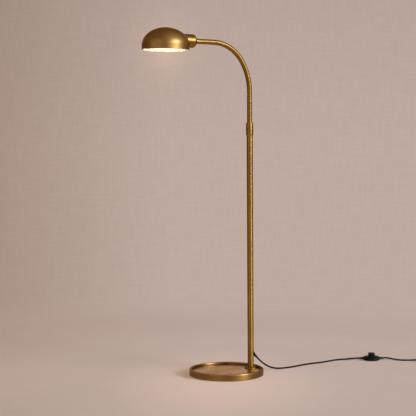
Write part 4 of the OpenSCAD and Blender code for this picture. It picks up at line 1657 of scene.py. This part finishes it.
@dataclass(frozen=True)
class Lead:
    """Mains lead: from the post to the foot switch, on to a tied coil of the spare length, and its plug."""

    diameter: float = 0.006
    faces: int = 6
    finer: int = 5
    end_points: int = 3
    to_switch: tuple[Spot, ...] = (
        (0.146, 0, 0.034), (0.158, 0, 0.025), (0.172, 0, 0.0165), (0.188, 0, 0.010), (0.206, 0, 0.0055),
        (0.226, 0, 0.0035), (0.248, 0.001, 0.003), (0.272, 0.004, 0.003), (0.298, 0.010, 0.003),
        (0.324, 0.018, 0.003), (0.350, 0.025, 0.003), (0.378, 0.029, 0.003), (0.406, 0.031, 0.003),
        (0.434, 0.034, 0.003), (0.460, 0.040, 0.003), (0.484, 0.046, 0.003), (0.506, 0.049, 0.003),
        (0.525, 0.046, 0.0035), (0.541, 0.037, 0.0045), (0.556, 0.029, 0.0062),
    )
    to_coil: tuple[Spot, ...] = (
        (0.689, -0.042, 0.006), (0.698, -0.055, 0.004), (0.708, -0.069, 0.003), (0.721, -0.082, 0.003),
        (0.736, -0.091, 0.003), (0.753, -0.098, 0.003), (0.770, -0.101, 0.003), (0.786, -0.103, 0.0035),
    )
    coil_join: Spot = (0.812, -0.109, 0.004)
    coil_heading: float = -15.0
    coil_turns: int = 7
    coil_rings: int = 48
    coil_inner: float = 0.024
    coil_gap: float = 0.0006
    climb_turns: float = 0.5
    tie_thickness: float = 0.0007
    tie_width: float = 0.008
    tie_round: float = 0.003
    tie_slack: float = 0.0003

    @property
    def heading(self) -> Vector:
        """The direction in which the lead reaches the coil and leaves it."""
        turn = math.radians(self.coil_heading)
        return Vector((math.cos(turn), math.sin(turn), 0))

    @property
    def step(self) -> float:
        """The distance from one turn or layer of the coil to the next."""
        return self.diameter + self.coil_gap

    @property
    def coil_outer(self) -> float:
        """The radius at which the coil starts and ends."""
        return self.coil_inner + self.step * self.coil_turns / 2

    @property
    def coil_middle(self) -> Vector:
        """The middle of the coil's floor layer."""
        side = Vector((0, 0, 1)).cross(self.heading)
        return Vector(self.coil_join) + self.diameter * self.heading - self.coil_outer * side

    def coil_point(self, turn: float) -> Vector:
        """A point of the coil, which spirals in on the floor, climbs, and spirals out on the layer above.

        Args:
            turn: How many turns the lead has made by then.

        Returns:
            The point.
        """
        angle = math.radians(self.coil_heading + 90 - 360 * turn)
        past = turn - self.coil_turns / 2
        radius = self.coil_inner + self.step * abs(past)
        climb = min(max(past / self.climb_turns + 0.5, 0.0), 1.0)
        height = self.step * climb * climb * (3 - 2 * climb)
        return self.coil_middle + Vector((radius * math.cos(angle), radius * math.sin(angle), height))

    def smoothed(self, points: Sequence[Vector]) -> list[Vector]:
        """Lay a smooth curve through a route's points, no lower than the floor.

        Args:
            points: The route's points.

        Returns:
            Points close together along the curve.
        """
        line = []
        last = len(points) - 1
        for index in range(last):
            before, start = points[max(index - 1, 0)], points[index]
            end, after = points[index + 1], points[min(index + 2, last)]
            for k in range(self.finer):
                u = k / self.finer
                bend = u * (end - before) + u * u * (2 * before - 5 * start + 4 * end - after)
                spot = start + 0.5 * (bend + u * u * u * (3 * start - before - 3 * end + after))
                line.append(Vector((spot.x, spot.y, max(spot.z, self.diameter / 2))))
        return [*line, points[-1]]

    def curve(self, name: str, line: Sequence[Vector]) -> Piece:
        """Make a round lead along a line.

        Args:
            name: The piece's name.
            line: Points along the lead's middle.

        Returns:
            The lead.
        """
        data = bpy.data.curves.new(name, "CURVE")
        data.dimensions = "3D"
        data.bevel_depth = self.diameter / 2
        data.bevel_resolution = self.faces
        data.use_fill_caps = True
        spline = data.splines.new("POLY")
        spline.points.add(len(line) - 1)
        for point, spot in zip(spline.points, line):
            point.co = (*spot, 1.0)
        return new_piece(name, data)

    def build(self, post: Post, switch: FootSwitch) -> None:
        """Args:
            post: The post that the lead leaves.
            switch: The switch that it goes through.
        """
        steps = [k * self.diameter for k in range(self.end_points)]
        on_switch = switch.build()
        near = [post.lead_exit + step * post.way_out for step in steps]
        far = [switch.relief_end(-1, step) for step in reversed(steps)]
        line = self.smoothed([*near, *map(Vector, self.to_switch), *far])
        first = dress(self.curve("lead_to_switch", line), Body.STAND, Slot.LEAD_JACKET, "cord_to_switch")
        post.lead_exit

        join = Vector(self.coil_join)
        near = [switch.relief_end(1, step) for step in steps]
        far = [join - step * self.heading for step in reversed(steps)]
        line = self.smoothed([*near, *map(Vector, self.to_coil), *far])
        line += [self.coil_point(k / self.coil_rings) for k in range(self.coil_turns * self.coil_rings + 1)]
        line += [line[-1] + step * self.heading for step in steps[1:]]
        second = self.curve("lead_to_plug", line)
        dress(second, Body.STAND, Slot.LEAD_JACKET, "cord_to_coil", "cord_coil")
        tie = dress(self.tie(), Body.STAND, Slot.BLACK_PLASTIC, "cord_tie")
        plug = Plug(line[-1], self.coil_heading)
        switch.relief_end(1, 0.0)
        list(plug.build())

    def tie(self) -> Piece:
        """Make the strap round one side of the coil.

        Returns:
            The tie.
        """
        radius = self.diameter / 2
        near = self.coil_inner - radius - self.tie_slack
        far = self.coil_outer - self.step / 2 + radius + self.tie_slack
        top = self.coil_join[2] + self.step + radius + self.tie_slack
        corners = [(near, self.tie_thickness), (far, self.tie_thickness), (far, top), (near, top)]
        inner = rounded([Corner(x, z, self.tie_round) for x, z in corners], flats=False)
        t = self.tie_thickness
        grown = [(near - t, 0.0), (far + t, 0.0), (far + t, top + t), (near - t, top + t)]
        outer = rounded([Corner(x, z, self.tie_round + t) for x, z in grown], flats=False)
        flat = Vector((self.coil_middle.x, self.coil_middle.y, 0))
        place = Matrix.Translation(flat) @ rotation(self.coil_heading - 90, "Z")
        half = self.tie_width / 2
        rings = [
            [place @ Vector((x, y, z)) for x, z in outline]
            for outline, y in ((outer, -half), (outer, half), (inner, half), (inner, -half))
        ]
        return from_rings("coil_tie", rings, [0.0, 2 * half, 2 * half + t, 4 * half, 4 * half + t], loop=True)


@dataclass(frozen=True)
class Plug:
    """Moulded plug with two flat blades, lying at the end of the lead.

    Each section of its grip is a distance from the tail, half a width, half a height and a squareness.
    """

    start: Vector
    heading: float
    relief: float = 0.027
    relief_tip: float = 0.0034
    relief_radius: float = 0.006
    relief_square: float = 2.0
    grip: tuple[tuple[float, float, float, float], ...] = (
        (0.028, 0.0075, 0.0075, 2.4), (0.035, 0.0075, 0.0075, 2.8), (0.045, 0.0083, 0.0081, 3.2),
        (0.051, 0.0108, 0.0094, 3.8), (0.057, 0.0126, 0.0106, 4.5), (0.0618, 0.013, 0.0106, 5.0),
        (0.063, 0.0118, 0.0094, 5.0),
    )
    ribs: int = 5
    rib_depth: float = 0.0006
    blade_length: float = 0.017
    blade_width: float = 0.00635
    blade_thickness: float = 0.0015
    blade_pitch: float = 0.0127
    blade_round: float = 0.0012
    blade_hole: float = 0.0016
    hole_share: float = 0.72

    @property
    def place(self) -> Matrix:
        """The plug's axis: Z out of its face."""
        turn = math.radians(self.heading)
        return axis_place(self.start, Vector((math.cos(turn), math.sin(turn), 0)))

    def build(self) -> list[Piece]:
        """Make the body and the blades.

        Returns:
            The plug's pieces.
        """
        body = dress(self.body(), Body.STAND, Slot.BLACK_PLASTIC, "plug_body")
        blades = dress(self.blades(), Body.STAND, Slot.PLAIN_BRASS, "plug_blades")
        return [body, blades]

    def body(self) -> Piece:
        """Loft the body: a ribbed relief that swells into a squarish grip.

        Returns:
            The body.
        """
        relief = ribbed(0, self.relief, self.relief_tip, self.relief_radius, self.ribs, self.rib_depth)
        angles = [math.tau * k / COARSE for k in range(COARSE)]
        rings, runs = [], [0.0]
        for z, w, h, power in [*((z, r, r, self.relief_square) for r, z in relief), *self.grip]:
            rings.append([self.place @ Vector((*squircle(a, w, h, power), z)) for a in angles])
            runs.append(z)
        return from_rings("plug_grip", rings, runs, loop=False)

    def blades(self) -> Piece:
        """Make the two blades, each with its tip rounded and a hole through it.

        Returns:
            Both blades.
        """
        face = self.grip[-1][0]
        half, thick = self.blade_width / 2, self.blade_thickness
        corners = [
            Corner(-half, 0), Corner(half, 0),
            Corner(half, self.blade_length, self.blade_round),
            Corner(-half, self.blade_length, self.blade_round),
        ]
        outline = rounded(corners)
        pair = []
        for side in (-1, 1):
            across = side * self.blade_pitch / 2
            rings = [[self.place @ Vector((across + off, y, face + z)) for y, z in outline]
                     for off in (-thick / 2, thick / 2)]
            blade = from_rings("plug_flat_blades", rings, [0.0, thick], loop=False)
            centre = self.place @ Vector((across, 0, face + self.blade_length * self.hole_share))
            drill = axis_place(centre, self.place.to_3x3() @ Vector((1, 0, 0)))
            carve(blade, rod("drill", self.blade_hole, -thick, thick, drill))
            pair.append(blade)
        carve(pair[0], pair[1], "UNION")
        return pair[0]


def squircle(angle: float, half_width: float, half_height: float, power: float) -> Point:
    """A point of a rounded rectangle, squarer for a higher power.

    Args:
        angle: Where the point lies, in radians.
        half_width: Half the rectangle's width.
        half_height: Half its height.
        power: 2 for an ellipse, and more for a squarer form.

    Returns:
        The point, across and up.
    """
    c, s = math.cos(angle), math.sin(angle)
    across = math.copysign(abs(c) ** (2 / power), c) * half_width
    up = math.copysign(abs(s) ** (2 / power), s) * half_height
    return across, up


def main() -> None:
    """Build the studio and the lamp, piece by piece."""
    logging.basicConfig(level=logging.INFO, format="%(name)s: %(message)s")
    Studio().build()
    PALETTE.dress_nodes()
    post = Post()
    Lead().build(post, FootSwitch())
    Base().build()
    post.build()
    HeightLock().build()
    Arm().build()
    Head().build()


if __name__ == "__main__":
    main()
